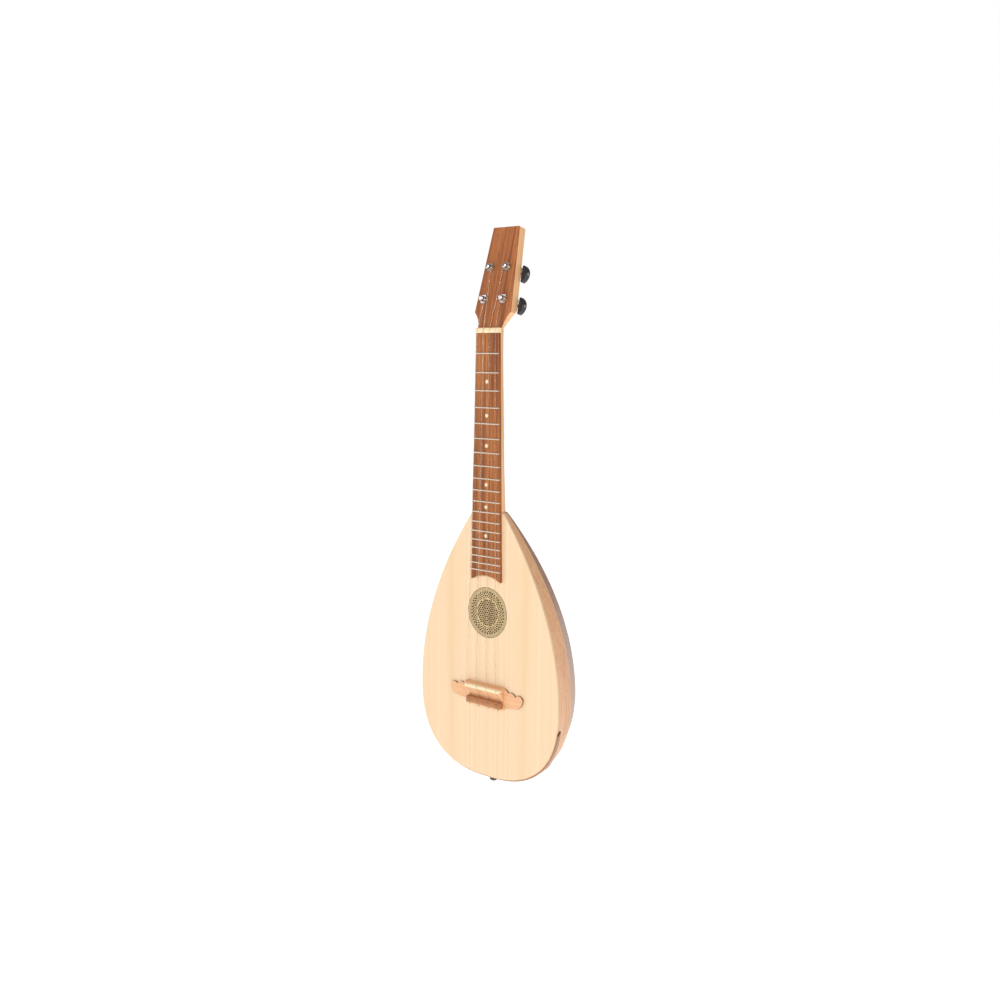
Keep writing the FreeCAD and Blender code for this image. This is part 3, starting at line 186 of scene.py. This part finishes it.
# growth rings: straight lines up the board that wander a little and change in strength
wander = add(tree, "Math", {0: drift.outputs["Fac"], 1: 0.006}, operation="MULTIPLY")
across = add(tree, "Math", {0: mirrored.outputs[0], 1: wander.outputs[0]}, operation="ADD")
rings = add(tree, "Math", {0: across.outputs[0], 1: 1.0 / RING_SPACING}, operation="MULTIPLY")
ring_place = add(tree, "CombineXYZ", {"X": rings.outputs[0], "Z": 0.35})
ring_noise = add(tree, "TexNoise", {"Vector": ring_place.outputs[0], "Scale": 0.95, "Detail": 2.0,
                                    "Roughness": 0.7})
ring_lines = add(tree, "ValToRGB", {0: ring_noise.outputs["Fac"]},
                 stops=[(0.42, 0.0), (0.66, 1.0)])
fibre_scale = add(tree, "Mapping", {0: bookmatched.outputs[0], "Scale": (2600.0, 2600.0, 60.0)})
fibre = add(tree, "TexNoise", {"Vector": fibre_scale.outputs[0], "Scale": 1.0, "Detail": 2.0})
band_scale = add(tree, "Mapping", {0: bookmatched.outputs[0], "Scale": (26.0, 0.0, 1.2)})
bands = add(tree, "TexNoise", {"Vector": band_scale.outputs[0], "Scale": 1.0, "Detail": 2.0})
ground = add(tree, "ValToRGB", {0: bands.outputs["Fac"]},
             stops=[(0.30, "#E8CAA6"), (0.5, "#E9CDAB"), (0.72, "#E5C6A0")])
lined = add(tree, "Mix", {0: ring_lines.outputs[0], 6: ground.outputs[0], 7: linear("#D8B283")},
            data_type="RGBA")
soft_lines = add(tree, "Mix", {0: 0.34, 6: ground.outputs[0], 7: lined.outputs[2]},
                 data_type="RGBA")
flecked = add(tree, "Mix", {0: 0.10, 6: soft_lines.outputs[2], 7: fibre.outputs["Fac"]},
              data_type="RGBA", blend_type="OVERLAY")
grain_bump = add(tree, "Bump", {"Height": ring_noise.outputs["Fac"], "Strength": 0.05,
                                "Distance": 0.0002})
shader = add(tree, "BsdfPrincipled", {
    "Base Color": flecked.outputs[2], "Roughness": 0.50, "IOR": 1.5,
    "Coat Weight": 0.12, "Coat Roughness": 0.35, "Normal": grain_bump.outputs[0],
})
tree.links.new(shader.outputs[0], surface)
dress(spruce, "soundboard_bass_half", "soundboard_treble_half")


# ---- Bowl: nine mahogany staves bent over a mould, each planed to meet the next, with their
# grain along the stave. Each stave's figure differs, and their tones carry painted light and
# shade: the rim staves are painted light and the staves next to them painted dark.
def wood(name, stops, lines, pores, finish, turn=(0.0, 0.0, 0.0), shift=(0.0, 0.0, 0.0),
         dark_edge_and_shade=None):
    """Lacquered or oiled wood with its fibres along the turned Z axis.

    stops are the broad tones, lines their spacing in metres and strength, pores the colour
    and share of the surface, finish the roughness and coat, and the last a mask and its colour
    for darkened edges: scorch marks on most parts, end grain with painted shade on the tail clasp.
    """
    material, tree, surface, coordinates = new_material(name)
    laid = add(tree, "Mapping", {0: coordinates.outputs["Object"], "Rotation": turn,
                                 "Location": shift})
    spacing, strength = lines
    pore_colour, pore_share = pores
    roughness, coat = finish
    fine = 1.0 / spacing
    broad_scale = add(tree, "Mapping", {0: laid.outputs[0], "Scale": (fine / 7, fine / 7, 3.0)})
    broad = add(tree, "TexNoise", {"Vector": broad_scale.outputs[0], "Scale": 1.0, "Detail": 3.0,
                                   "Distortion": 0.3})
    line_scale = add(tree, "Mapping", {0: laid.outputs[0], "Scale": (fine, fine, 9.0)})
    streaks = add(tree, "TexNoise", {"Vector": line_scale.outputs[0], "Scale": 1.0, "Detail": 3.0,
                                     "Roughness": 0.62})
    pore_scale = add(tree, "Mapping", {0: laid.outputs[0], "Scale": (2400.0, 2400.0, 130.0)})
    pits = add(tree, "TexNoise", {"Vector": pore_scale.outputs[0], "Scale": 1.0, "Detail": 1.0})
    pit_marks = add(tree, "ValToRGB", {0: pits.outputs["Fac"]}, stops=[(0.57, 0.0), (0.69, 1.0)])
    ground = add(tree, "ValToRGB", {0: broad.outputs["Fac"]}, stops=stops)
    streak_tone = add(tree, "ValToRGB", {0: streaks.outputs["Fac"]},
                      stops=[(0.36, 0.26), (0.64, 0.70)])
    figured = add(tree, "Mix", {0: strength, 6: ground.outputs[0], 7: streak_tone.outputs[0]},
                  data_type="RGBA", blend_type="OVERLAY")
    pit_share = add(tree, "Math", {0: pit_marks.outputs[0], 1: pore_share}, operation="MULTIPLY")
    colour = add(tree, "Mix", {0: pit_share.outputs[0], 6: figured.outputs[2],
                               7: linear(pore_colour)}, data_type="RGBA")
    # darkened edges: scorched or charred wood on most parts, on the tail clasp end grain with
    # painted shade
    if dark_edge_and_shade is not None:
        colour = add(tree, "Mix", {0: dark_edge_and_shade[0](tree, coordinates), 6: colour.outputs[2],
                                   7: linear(dark_edge_and_shade[1])}, data_type="RGBA")
    rough = add(tree, "MapRange", {0: streaks.outputs["Fac"], 3: roughness - 0.05,
                                   4: roughness + 0.08})
    relief = add(tree, "Bump", {"Height": streaks.outputs["Fac"], "Strength": 0.08,
                                "Distance": 0.0002})
    shader = add(tree, "BsdfPrincipled", {
        "Base Color": colour.outputs[2], "Roughness": rough.outputs[0], "IOR": 1.5,
        "Coat Weight": coat, "Coat Roughness": 0.22, "Normal": relief.outputs[0],
    })
    tree.links.new(shader.outputs[0], surface)
    return material


STAVE_COUNT = 9
# the angle that each rim stave takes up round the bowl; the others share the rest evenly
RIM_STAVE = math.radians(17.0)
STAVE_STEP = (math.pi - 2.0 * RIM_STAVE) / (STAVE_COUNT - 2)
# tone sets counted from the rim, repeating every four staves: the first set (rim staves and the
# middle stave) is painted light and the second (staves next to the rim) painted shade, lit and
# shaded copies of one mahogany
STAVE_TONES_PAINTED_LIT_AND_SHADED = (
    ("#DDA67A", "#E8B388", "#E0AA7E"), ("#9C6F54", "#AC7C60", "#8E6650"),
    ("#BC8A62", "#C8976D", "#AF7F5A"), ("#AB7A56", "#B98862", "#A0714F"),
)
for number in range(1, STAVE_COUNT + 1):
    facing = RIM_STAVE + STAVE_STEP * (number - 1.5)
    if number in (1, STAVE_COUNT):
        facing = RIM_STAVE / 2.0 if number == 1 else math.pi - RIM_STAVE / 2.0
    # the stave's tone set, with the painted light and shade that its place from the rim gives it
    dark, mid, pale = STAVE_TONES_PAINTED_LIT_AND_SHADED[min(number - 1, STAVE_COUNT - number) % len(STAVE_TONES_PAINTED_LIT_AND_SHADED)]
    dress(
        wood("mahogany_stave_%d" % number, [(0.30, dark), (0.52, mid), (0.74, pale)],
             (0.0022, 0.42), ("#6E4830", 0.35), (0.44, 0.35),
             turn=(0.0, 0.0, -facing), shift=(0.31 * number, 0.047 * number, 0.0)),
        "rib_%d" % number)

# ---- Purfling: strips of pale maple veneer, glued on edge in the joints between the staves and
# scraped flush. They read as fine light lines that run down the bowl.
dress(wood("maple_edge_veneer", [(0.3, "#E0B585"), (0.5, "#E8C193"), (0.7, "#DCAF7E")],
           (0.0012, 0.25), ("#B98A5C", 0.2), (0.45, 0.3)), "rib_purflings")

# ---- Blocks and braces inside: bare split spruce, planed but not finished, glued to the board
# and the staves. The braces run across the soundboard, so their grain lies along x.
dress(wood("planed_spruce_bare", [(0.3, "#D9B888"), (0.5, "#E2C598"), (0.7, "#D3AF7E")],
           (0.0016, 0.4), ("#B08A58", 0.15), (0.7, 0.0)),
      "neck_block", "tail_block", "bridge_patch")
dress(wood("braces_spruce_bare", [(0.3, "#D9B888"), (0.5, "#E2C598"), (0.7, "#D3AF7E")],
           (0.0016, 0.4), ("#B08A58", 0.15), (0.7, 0.0), turn=(0.0, math.pi / 2.0, 0.0)),
      "soundboard_braces")

# ---- Neck and head: one piece of maple, carved round behind and sanded, with a satin lacquer
# that leaves it warm orange-cream.
dress(wood("neck_maple_satin_lacquer", [(0.3, "#E3AE7C"), (0.5, "#EDBB8A"), (0.72, "#E0A874")],
           (0.0016, 0.22), ("#B07C4C", 0.22), (0.42, 0.35)), "neck")

# ---- Fingerboard and head face: streaked, open-pored walnut, sanded fine and oiled. The head
# face's grain follows the head, which tilts back from the neck.
BOARD_TONES = [(0.28, "#54290F"), (0.42, "#8A4A20"), (0.56, "#A8652F"), (0.74, "#6E3818")]
HEAD_TONES = [(0.26, "#733C1C"), (0.42, "#A25D2E"), (0.58, "#B66F3B"), (0.76, "#844725")]
HEAD_TILT = math.radians(13.6)
dress(wood("fingerboard_walnut_oiled", BOARD_TONES, (0.0019, 0.8), ("#3E2010", 0.6), (0.6, 0.0)),
      "fingerboard")
dress(wood("head_walnut_oiled", HEAD_TONES, (0.0019, 0.6), ("#3E2010", 0.5), (0.55, 0.04),
           turn=(HEAD_TILT, 0.0, 0.0), shift=(0.4, 0.0, 0.2)), "head_veneer")

# ---- Bridge: a moustache-shaped plate with a raised block, sawn from pale beech. A laser cut
# its outline, so the plate's upright edges are scorched dark brown.
# just above the plate's face, measured from the soundboard it is glued to
PLATE_REACH = 0.0021
BLOCK_REACH = 0.031
plate_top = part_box("bridge")[1][1] - PLATE_REACH


def scorched_edge(tree, coordinates):
    """One on the upright edges of the plate's two wings, zero elsewhere."""
    normal = add(tree, "SeparateXYZ", {0: coordinates.outputs["Normal"]})
    facing = add(tree, "Math", {0: normal.outputs["Y"]}, operation="ABSOLUTE")
    upright = add(tree, "Math", {0: facing.outputs[0], 1: 0.5}, operation="LESS_THAN")
    place = add(tree, "SeparateXYZ", {0: coordinates.outputs["Object"]})
    low = add(tree, "Math", {0: place.outputs["Y"], 1: plate_top}, operation="GREATER_THAN")
    sideways = add(tree, "Math", {0: place.outputs["X"]}, operation="ABSOLUTE")
    outer = add(tree, "Math", {0: sideways.outputs[0], 1: BLOCK_REACH}, operation="GREATER_THAN")
    wing = add(tree, "Math", {0: low.outputs[0], 1: outer.outputs[0]}, operation="MULTIPLY")
    both = add(tree, "Math", {0: upright.outputs[0], 1: wing.outputs[0]}, operation="MULTIPLY")
    return both.outputs[0]


ALONG_X = (0.0, math.pi / 2.0, 0.0)
dress(wood("bridge_beech_lacquered", [(0.3, "#D8A476"), (0.5, "#E4B083"), (0.7, "#D09A6C")],
           (0.0012, 0.3), ("#A8744A", 0.3), (0.45, 0.25), turn=ALONG_X,
           dark_edge_and_shade=(scorched_edge, "#6E4426")), "bridge")
dress(wood("tie_block_rosewood_oiled", [(0.26, "#8A4E2A"), (0.45, "#BC7A48"), (0.7, "#A0602F")],
           (0.0010, 0.6), ("#3A1D10", 0.5), (0.45, 0.15), turn=ALONG_X), "tie_block")


# ---- Tail clasp: a thin bent strip of stained mahogany glued over the stave ends. Its upward
# sawn edges are painted dark: partly the end grain's own tone, partly painted shade in the
# corner along the soundboard's edge.
def sawn_edge_and_painted_shade(tree, coordinates):
    """One on faces that look up, which are the strip's sawn edges and carry painted shade, zero
    elsewhere.
    """
    normal = add(tree, "SeparateXYZ", {0: coordinates.outputs["Normal"]})
    upward = add(tree, "Math", {0: normal.outputs["Z"], 1: 0.25}, operation="GREATER_THAN")
    return upward.outputs[0]


# 4A2C1A on the sawn edges is the end grain's own dark with painted shade in the corner
dress(wood("clasp_mahogany_stained", [(0.3, "#A2734E"), (0.5, "#B38460"), (0.7, "#946748")],
           (0.0020, 0.4), ("#5A3A26", 0.35), (0.45, 0.25),
           dark_edge_and_shade=(sawn_edge_and_painted_shade, "#4A2C1A")), "tail_clasp")

# ---- End pin: a turned beech button, stained black and waxed, that is pushed into the tail
# block and holds a carrying strap.
dress(wood("end_pin_ebonised_beech", [(0.3, "#2E1A10"), (0.5, "#3C2416"), (0.7, "#29160D")],
           (0.0012, 0.4), ("#170C07", 0.3), (0.28, 0.4)), "end_pin")

# ---- Frets: nickel silver wire hammered into sawn slots and polished along the crown, which
# leaves hair-fine scratches across the board.
nickel, tree, surface, coordinates = new_material("nickel_silver_polished")
hair_scale = add(tree, "Mapping", {0: coordinates.outputs["Object"],
                                   "Scale": (60.0, 6000.0, 6000.0)})
hairs = add(tree, "TexNoise", {"Vector": hair_scale.outputs[0], "Scale": 1.0, "Detail": 2.0})
dulled = add(tree, "MapRange", {0: hairs.outputs["Fac"], 3: 0.22, 4: 0.42})
tint = add(tree, "ValToRGB", {0: hairs.outputs["Fac"]},
           stops=[(0.35, "#CDBFAE"), (0.65, "#DBD2C6")])
shader = add(tree, "BsdfPrincipled", {"Base Color": tint.outputs[0], "Metallic": 1.0,
                                      "Roughness": dulled.outputs[0]})
tree.links.new(shader.outputs[0], surface)
dress(nickel, "frets")

# ---- Position dots: discs of mother-of-pearl let into the board and sanded flush. Thin layers
# give them a cloudy cream figure with a faint cool and warm shimmer.
pearl, tree, surface, coordinates = new_material("mother_of_pearl_sanded")
cloud = add(tree, "TexNoise", {"Vector": coordinates.outputs["Object"], "Scale": 700.0,
                               "Detail": 3.0, "Distortion": 1.2})
sheen = add(tree, "ValToRGB", {0: cloud.outputs["Fac"]},
            stops=[(0.30, "#E2C69C"), (0.5, "#EBD4AE"), (0.62, "#DCD0B8"), (0.75, "#E6C89C")])
shader = add(tree, "BsdfPrincipled", {"Base Color": sheen.outputs[0], "Roughness": 0.22,
                                      "IOR": 1.6, "Coat Weight": 0.4, "Coat Roughness": 0.1})
tree.links.new(shader.outputs[0], surface)
dress(pearl, "fret_dots")

# ---- Nut and saddle: bleached bone, filed and polished. It keeps a fine grain of short cream
# streaks along the blank and glows a little where light enters it.
bone, tree, surface, coordinates = new_material("bone_filed_and_polished")
bone_scale = add(tree, "Mapping", {0: coordinates.outputs["Object"],
                                   "Scale": (180.0, 1500.0, 1500.0)})
bone_grain = add(tree, "TexNoise", {"Vector": bone_scale.outputs[0], "Scale": 1.0, "Detail": 3.0})
bone_tone = add(tree, "ValToRGB", {0: bone_grain.outputs["Fac"]},
                stops=[(0.32, "#EFD6AC"), (0.52, "#F6E1BB"), (0.72, "#EBCFA2")])
bone_bump = add(tree, "Bump", {"Height": bone_grain.outputs["Fac"], "Strength": 0.06,
                               "Distance": 0.0002})
shader = add(tree, "BsdfPrincipled", {
    "Base Color": bone_tone.outputs[0], "Roughness": 0.34, "IOR": 1.54,
    "Subsurface Weight": 0.08, "Subsurface Radius": (0.004, 0.003, 0.002),
    "Normal": bone_bump.outputs[0],
})
tree.links.new(shader.outputs[0], surface)
dress(bone, "nut", "saddle")

# ---- Rosette: a pierced rose cut by laser from pale veneer inside an inlaid ring. The beam
# leaves the walls of every opening dark brown, and the ring carries fine inlaid lines.
rose_low, rose_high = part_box("rosette_ring")
rose_middle = [(low + high) / 2.0 for low, high in zip(rose_low, rose_high)]
ring_radius = (rose_high[0] - rose_low[0]) / 2.0


def distance_from_middle(tree, coordinates):
    """How far a point lies from the rose's middle, as a share of the ring's radius."""
    moved = add(tree, "VectorMath", {0: coordinates.outputs["Object"], 1: rose_middle},
                operation="SUBTRACT")
    flat = add(tree, "VectorMath", {0: moved.outputs[0], 1: (1.0, 0.0, 1.0)},
               operation="MULTIPLY")
    far = add(tree, "VectorMath", {0: flat.outputs[0]}, operation="LENGTH")
    return add(tree, "Math", {0: far.outputs["Value"], 1: 1.0 / ring_radius},
               operation="MULTIPLY").outputs[0]


inlay, tree, surface, coordinates = new_material("rosette_ring_inlaid_veneer")
share = distance_from_middle(tree, coordinates)
lines = add(tree, "ValToRGB", {0: share}, stops=[
    (0.875, "#6E5A3C"), (0.892, "#C2AB80"), (0.925, "#B8A177"), (0.935, "#6E5A3C"),
    (0.946, "#BEA77C"), (0.968, "#B49D73"), (0.985, "#6E5A3C")])
speck = add(tree, "TexNoise", {"Vector": coordinates.outputs["Object"], "Scale": 1400.0,
                               "Detail": 3.0})
grained = add(tree, "Mix", {0: 0.28, 6: lines.outputs[0], 7: speck.outputs["Fac"]},
              data_type="RGBA", blend_type="OVERLAY")
shader = add(tree, "BsdfPrincipled", {"Base Color": grained.outputs[2], "Roughness": 0.5,
                                      "IOR": 1.5, "Coat Weight": 0.15, "Coat Roughness": 0.3})
tree.links.new(shader.outputs[0], surface)
dress(inlay, "rosette_ring")


def cut_wall(tree, coordinates):
    """One on the walls of the openings, which the beam charred, zero on the veneer's faces."""
    normal = add(tree, "SeparateXYZ", {0: coordinates.outputs["Normal"]})
    facing = add(tree, "Math", {0: normal.outputs["Y"]}, operation="ABSOLUTE")
    return add(tree, "Math", {0: facing.outputs[0], 1: 0.5}, operation="LESS_THAN").outputs[0]


dress(wood("rose_veneer_laser_cut", [(0.3, "#C2A678"), (0.5, "#D2B888"), (0.7, "#B59A6C")],
           (0.0010, 0.35), ("#8E7249", 0.3), (0.55, 0.1),
           dark_edge_and_shade=(cut_wall, "#1A0E07")), "rosette_lattice")

# ---- Strings: clear nylon, tied round the tie block behind the bridge, tight over the saddle
# and the nut, and wound in a few neat turns round their posts.
nylon, tree, surface, coordinates = new_material("clear_nylon_drawn")
draw_scale = add(tree, "Mapping", {0: coordinates.outputs["Object"],
                                   "Scale": (900.0, 900.0, 40.0)})
drawn = add(tree, "TexNoise", {"Vector": draw_scale.outputs[0], "Scale": 1.0, "Detail": 2.0})
milky = add(tree, "ValToRGB", {0: drawn.outputs["Fac"]},
            stops=[(0.35, "#EBDCC4"), (0.65, "#F6EBD8")])
shader = add(tree, "BsdfPrincipled", {
    "Base Color": milky.outputs[0], "Roughness": 0.18, "IOR": 1.53,
    "Transmission Weight": 0.90,
})
tree.links.new(shader.outputs[0], surface)


def strand(name, routes, radius):
    """One object of round strands, each along its own smooth route."""
    curve = bpy.data.curves.new(name, "CURVE")
    curve.dimensions = "3D"
    curve.bevel_depth = radius
    curve.bevel_resolution = 2
    curve.use_fill_caps = True
    curve.resolution_u = 3
    for kind, route in routes:
        spline = curve.splines.new(kind)
        spline.points.add(len(route) - 1)
        for point, corner in zip(spline.points, route):
            point.co = (*corner, 1.0)
        if kind == "NURBS":
            spline.order_u = 3
            spline.use_endpoint_u = True
    shape = bpy.data.objects.new(name + "_route", curve)
    scene.collection.objects.link(shape)
    bpy.context.view_layer.update()
    depsgraph = bpy.context.evaluated_depsgraph_get()
    mesh = bpy.data.meshes.new_from_object(shape.evaluated_get(depsgraph))
    bpy.data.objects.remove(shape)
    whole = bmesh.new()
    whole.from_mesh(mesh)
    bmesh.ops.recalc_face_normals(whole, faces=whole.faces)
    for face in whole.faces:
        face.smooth = True
    whole.to_mesh(mesh)
    whole.free()
    mesh.name = name
    piece = bpy.data.objects.new(name, mesh)
    scene.collection.objects.link(piece)
    piece.data.materials.append(nylon)
    return piece


# each string's letter and its diameter
STRINGS = (("g", 0.00060), ("c", 0.00086), ("e", 0.00072), ("a", 0.00060))
SPACING_AT_SADDLE = 0.0158
SPACING_AT_NUT = 0.0095
WINDING_HEIGHT = 0.0046
POST_RADIUS = 0.00305
WINDING_TURNS = 3
WINDING_STEPS = 20
# each turn lies this many diameters below the one before
WINDING_PITCH = 1.04
# how high the tie block's holes and the floors of the nut's slots lie over their undersides
TIE_HOLE_HEIGHT = 0.0016
NUT_SLOT_HEIGHT = 0.0057
# where a string bends over the nut, from the nut's lower edge, and its gap to the slot's floor
NUT_BREAK = 0.0020
NUT_CLEARANCE = 0.00012
tie_low, tie_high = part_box("tie_block")
saddle_low, saddle_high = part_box("saddle")
nut_low, nut_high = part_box("nut")
post_joints = {joint["name"][-1]: joint for joint in behaviour["joints"]
               if joint["name"].startswith("post_turn")}
tie_y = tie_high[1] - TIE_HOLE_HEIGHT
slot_y = nut_high[1] - NUT_SLOT_HEIGHT
break_z = nut_low[2] + NUT_BREAK
for index, (string, gauge) in enumerate(STRINGS):
    radius = gauge / 2.0
    x_saddle = (index - 1.5) * SPACING_AT_SADDLE
    x_nut = (index - 1.5) * SPACING_AT_NUT
    post = Vector(post_joints[string]["pos_m"])
    into_head = Vector(post_joints[string]["axis"])
    up_head = Vector((1.0, 0.0, 0.0)).cross(into_head)
    side = -1.0 if post.x < 0.0 else 1.0
    over_nut = Vector((x_nut, slot_y - radius - NUT_CLEARANCE, break_z))
    # the string leaves the nut and grazes the winding on the side that faces the middle
    wrap = POST_RADIUS + radius
    flat = over_nut - post
    local_x, local_z = flat.x, flat.dot(up_head)
    distance = math.hypot(local_x, local_z)
    heading = math.atan2(-local_z, -local_x) + side * math.asin(wrap / distance)
    run = math.sqrt(distance ** 2 - wrap ** 2)
    touch = post - into_head * WINDING_HEIGHT
    touch = touch + Vector((1.0, 0.0, 0.0)) * (local_x + run * math.cos(heading))
    touch = touch + up_head * (local_z + run * math.sin(heading))
    crest = Vector((x_saddle, saddle_low[1] - radius, (saddle_low[2] + saddle_high[2]) / 2.0))
    # the knot: through the block, back over its top, under the string and round once more
    leave = Vector((x_saddle, tie_y, tie_high[2] + 0.0008))
    behind = Vector((x_saddle, tie_y, tie_low[2] - 0.0012))
    over_back = Vector((x_saddle + 0.6 * gauge, tie_low[1] - radius, tie_low[2] + 0.0006))
    over_front = Vector((x_saddle + 1.5 * gauge, tie_low[1] - radius, tie_high[2] - 0.0006))
    under = Vector((x_saddle - 0.3 * gauge, tie_y - 1.1 * gauge, tie_high[2] + 0.0018))
    back_front = Vector((x_saddle - 1.6 * gauge, tie_low[1] - radius, tie_high[2] - 0.0006))
    back_back = Vector((x_saddle - 1.2 * gauge, tie_low[1] - radius, tie_low[2] + 0.0006))
    tucked = Vector((x_saddle - 0.8 * gauge, tie_y - 0.8 * gauge, tie_low[2] - 0.0008))
    tail_end = Vector((x_saddle - 4.0 * gauge, tie_y - 0.3 * gauge, tie_low[2] - 0.0042))
    speaking = [leave, crest, over_nut, touch]
    knot = [
        leave, behind, behind + Vector((0.0, -0.0016, -0.0006)), over_back, over_front,
        Vector((x_saddle + 1.8 * gauge, tie_y - 0.8 * gauge, tie_high[2] + 0.0012)), under,
        back_front, back_back, tucked, tail_end,
    ]
    line = strand("string_line_" + string, [("POLY", speaking), ("NURBS", knot)], radius)
    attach(line, "instrument")
    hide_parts("string_" + string)
    # the winding: a close helix down the post from where the string meets it
    coil = []
    start = math.atan2((touch - post).dot(up_head), touch.x - post.x)
    for i in range(WINDING_TURNS * WINDING_STEPS + 1):
        turn = start + side * 2.0 * math.pi * i / WINDING_STEPS
        drop = WINDING_HEIGHT - gauge * WINDING_PITCH * i / WINDING_STEPS
        coil.append(post - into_head * drop + Vector((1.0, 0.0, 0.0)) * wrap * math.cos(turn)
                    + up_head * wrap * math.sin(turn))
    winding = strand("string_winding_" + string, [("POLY", coil)], radius)
    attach(winding, "string_post_" + string)


# ---- Tuning machines: chromed steel cases, posts, bushings and screws, a turned steel worm
# and a cut brass wheel in each, and a moulded black plastic button.
def metal(name, colours, grain, rough):
    """Bare or plated metal with fine tool marks, whose scale is given for each direction."""
    material, tree, surface, coordinates = new_material(name)
    marks_scale = add(tree, "Mapping", {0: coordinates.outputs["Object"], "Scale": grain})
    marks = add(tree, "TexNoise", {"Vector": marks_scale.outputs[0], "Scale": 1.0, "Detail": 3.0})
    cloudy = add(tree, "TexNoise", {"Vector": coordinates.outputs["Object"], "Scale": 220.0})
    mixed = add(tree, "Mix", {0: 0.5, 2: marks.outputs["Fac"], 3: cloudy.outputs["Fac"]})
    tone = add(tree, "ValToRGB", {0: mixed.outputs[0]},
               stops=[(0.36, colours[0]), (0.62, colours[1])])
    dulled = add(tree, "MapRange", {0: mixed.outputs[0], 3: rough[0], 4: rough[1]})
    shader = add(tree, "BsdfPrincipled", {"Base Color": tone.outputs[0], "Metallic": 1.0,
                                          "Roughness": dulled.outputs[0]})
    tree.links.new(shader.outputs[0], surface)
    return material


chrome = metal("chrome_plated_steel", ("#BDBCC0", "#D6D6DA"), (900.0, 900.0, 900.0), (0.05, 0.16))
steel = metal("turned_steel", ("#8F8F92", "#B4B3B2"), (5200.0, 300.0, 300.0), (0.22, 0.38))
brass = metal("cut_brass", ("#B08A3C", "#CBA552"), (400.0, 3000.0, 400.0), (0.20, 0.36))

black, tree, surface, coordinates = new_material("black_abs_moulded_gloss")
grain = add(tree, "TexNoise", {"Vector": coordinates.outputs["Object"], "Scale": 900.0,
                               "Detail": 3.0})
shade = add(tree, "ValToRGB", {0: grain.outputs["Fac"]},
            stops=[(0.35, "#15151B"), (0.65, "#20212A")])
gloss = add(tree, "MapRange", {0: grain.outputs["Fac"], 3: 0.20, 4: 0.34})
shader = add(tree, "BsdfPrincipled", {"Base Color": shade.outputs[0], "Roughness": gloss.outputs[0],
                                      "IOR": 1.52})
tree.links.new(shader.outputs[0], surface)

dress(chrome, "tuner_bushings", "tuner_screws")
for string, _ in STRINGS:
    dress(chrome, "post_" + string, "tuner_housing_" + string, "button_screw_" + string)
    dress(steel, "worm_shaft_" + string)
    dress(brass, "worm_wheel_" + string)
    dress(black, "button_" + string)
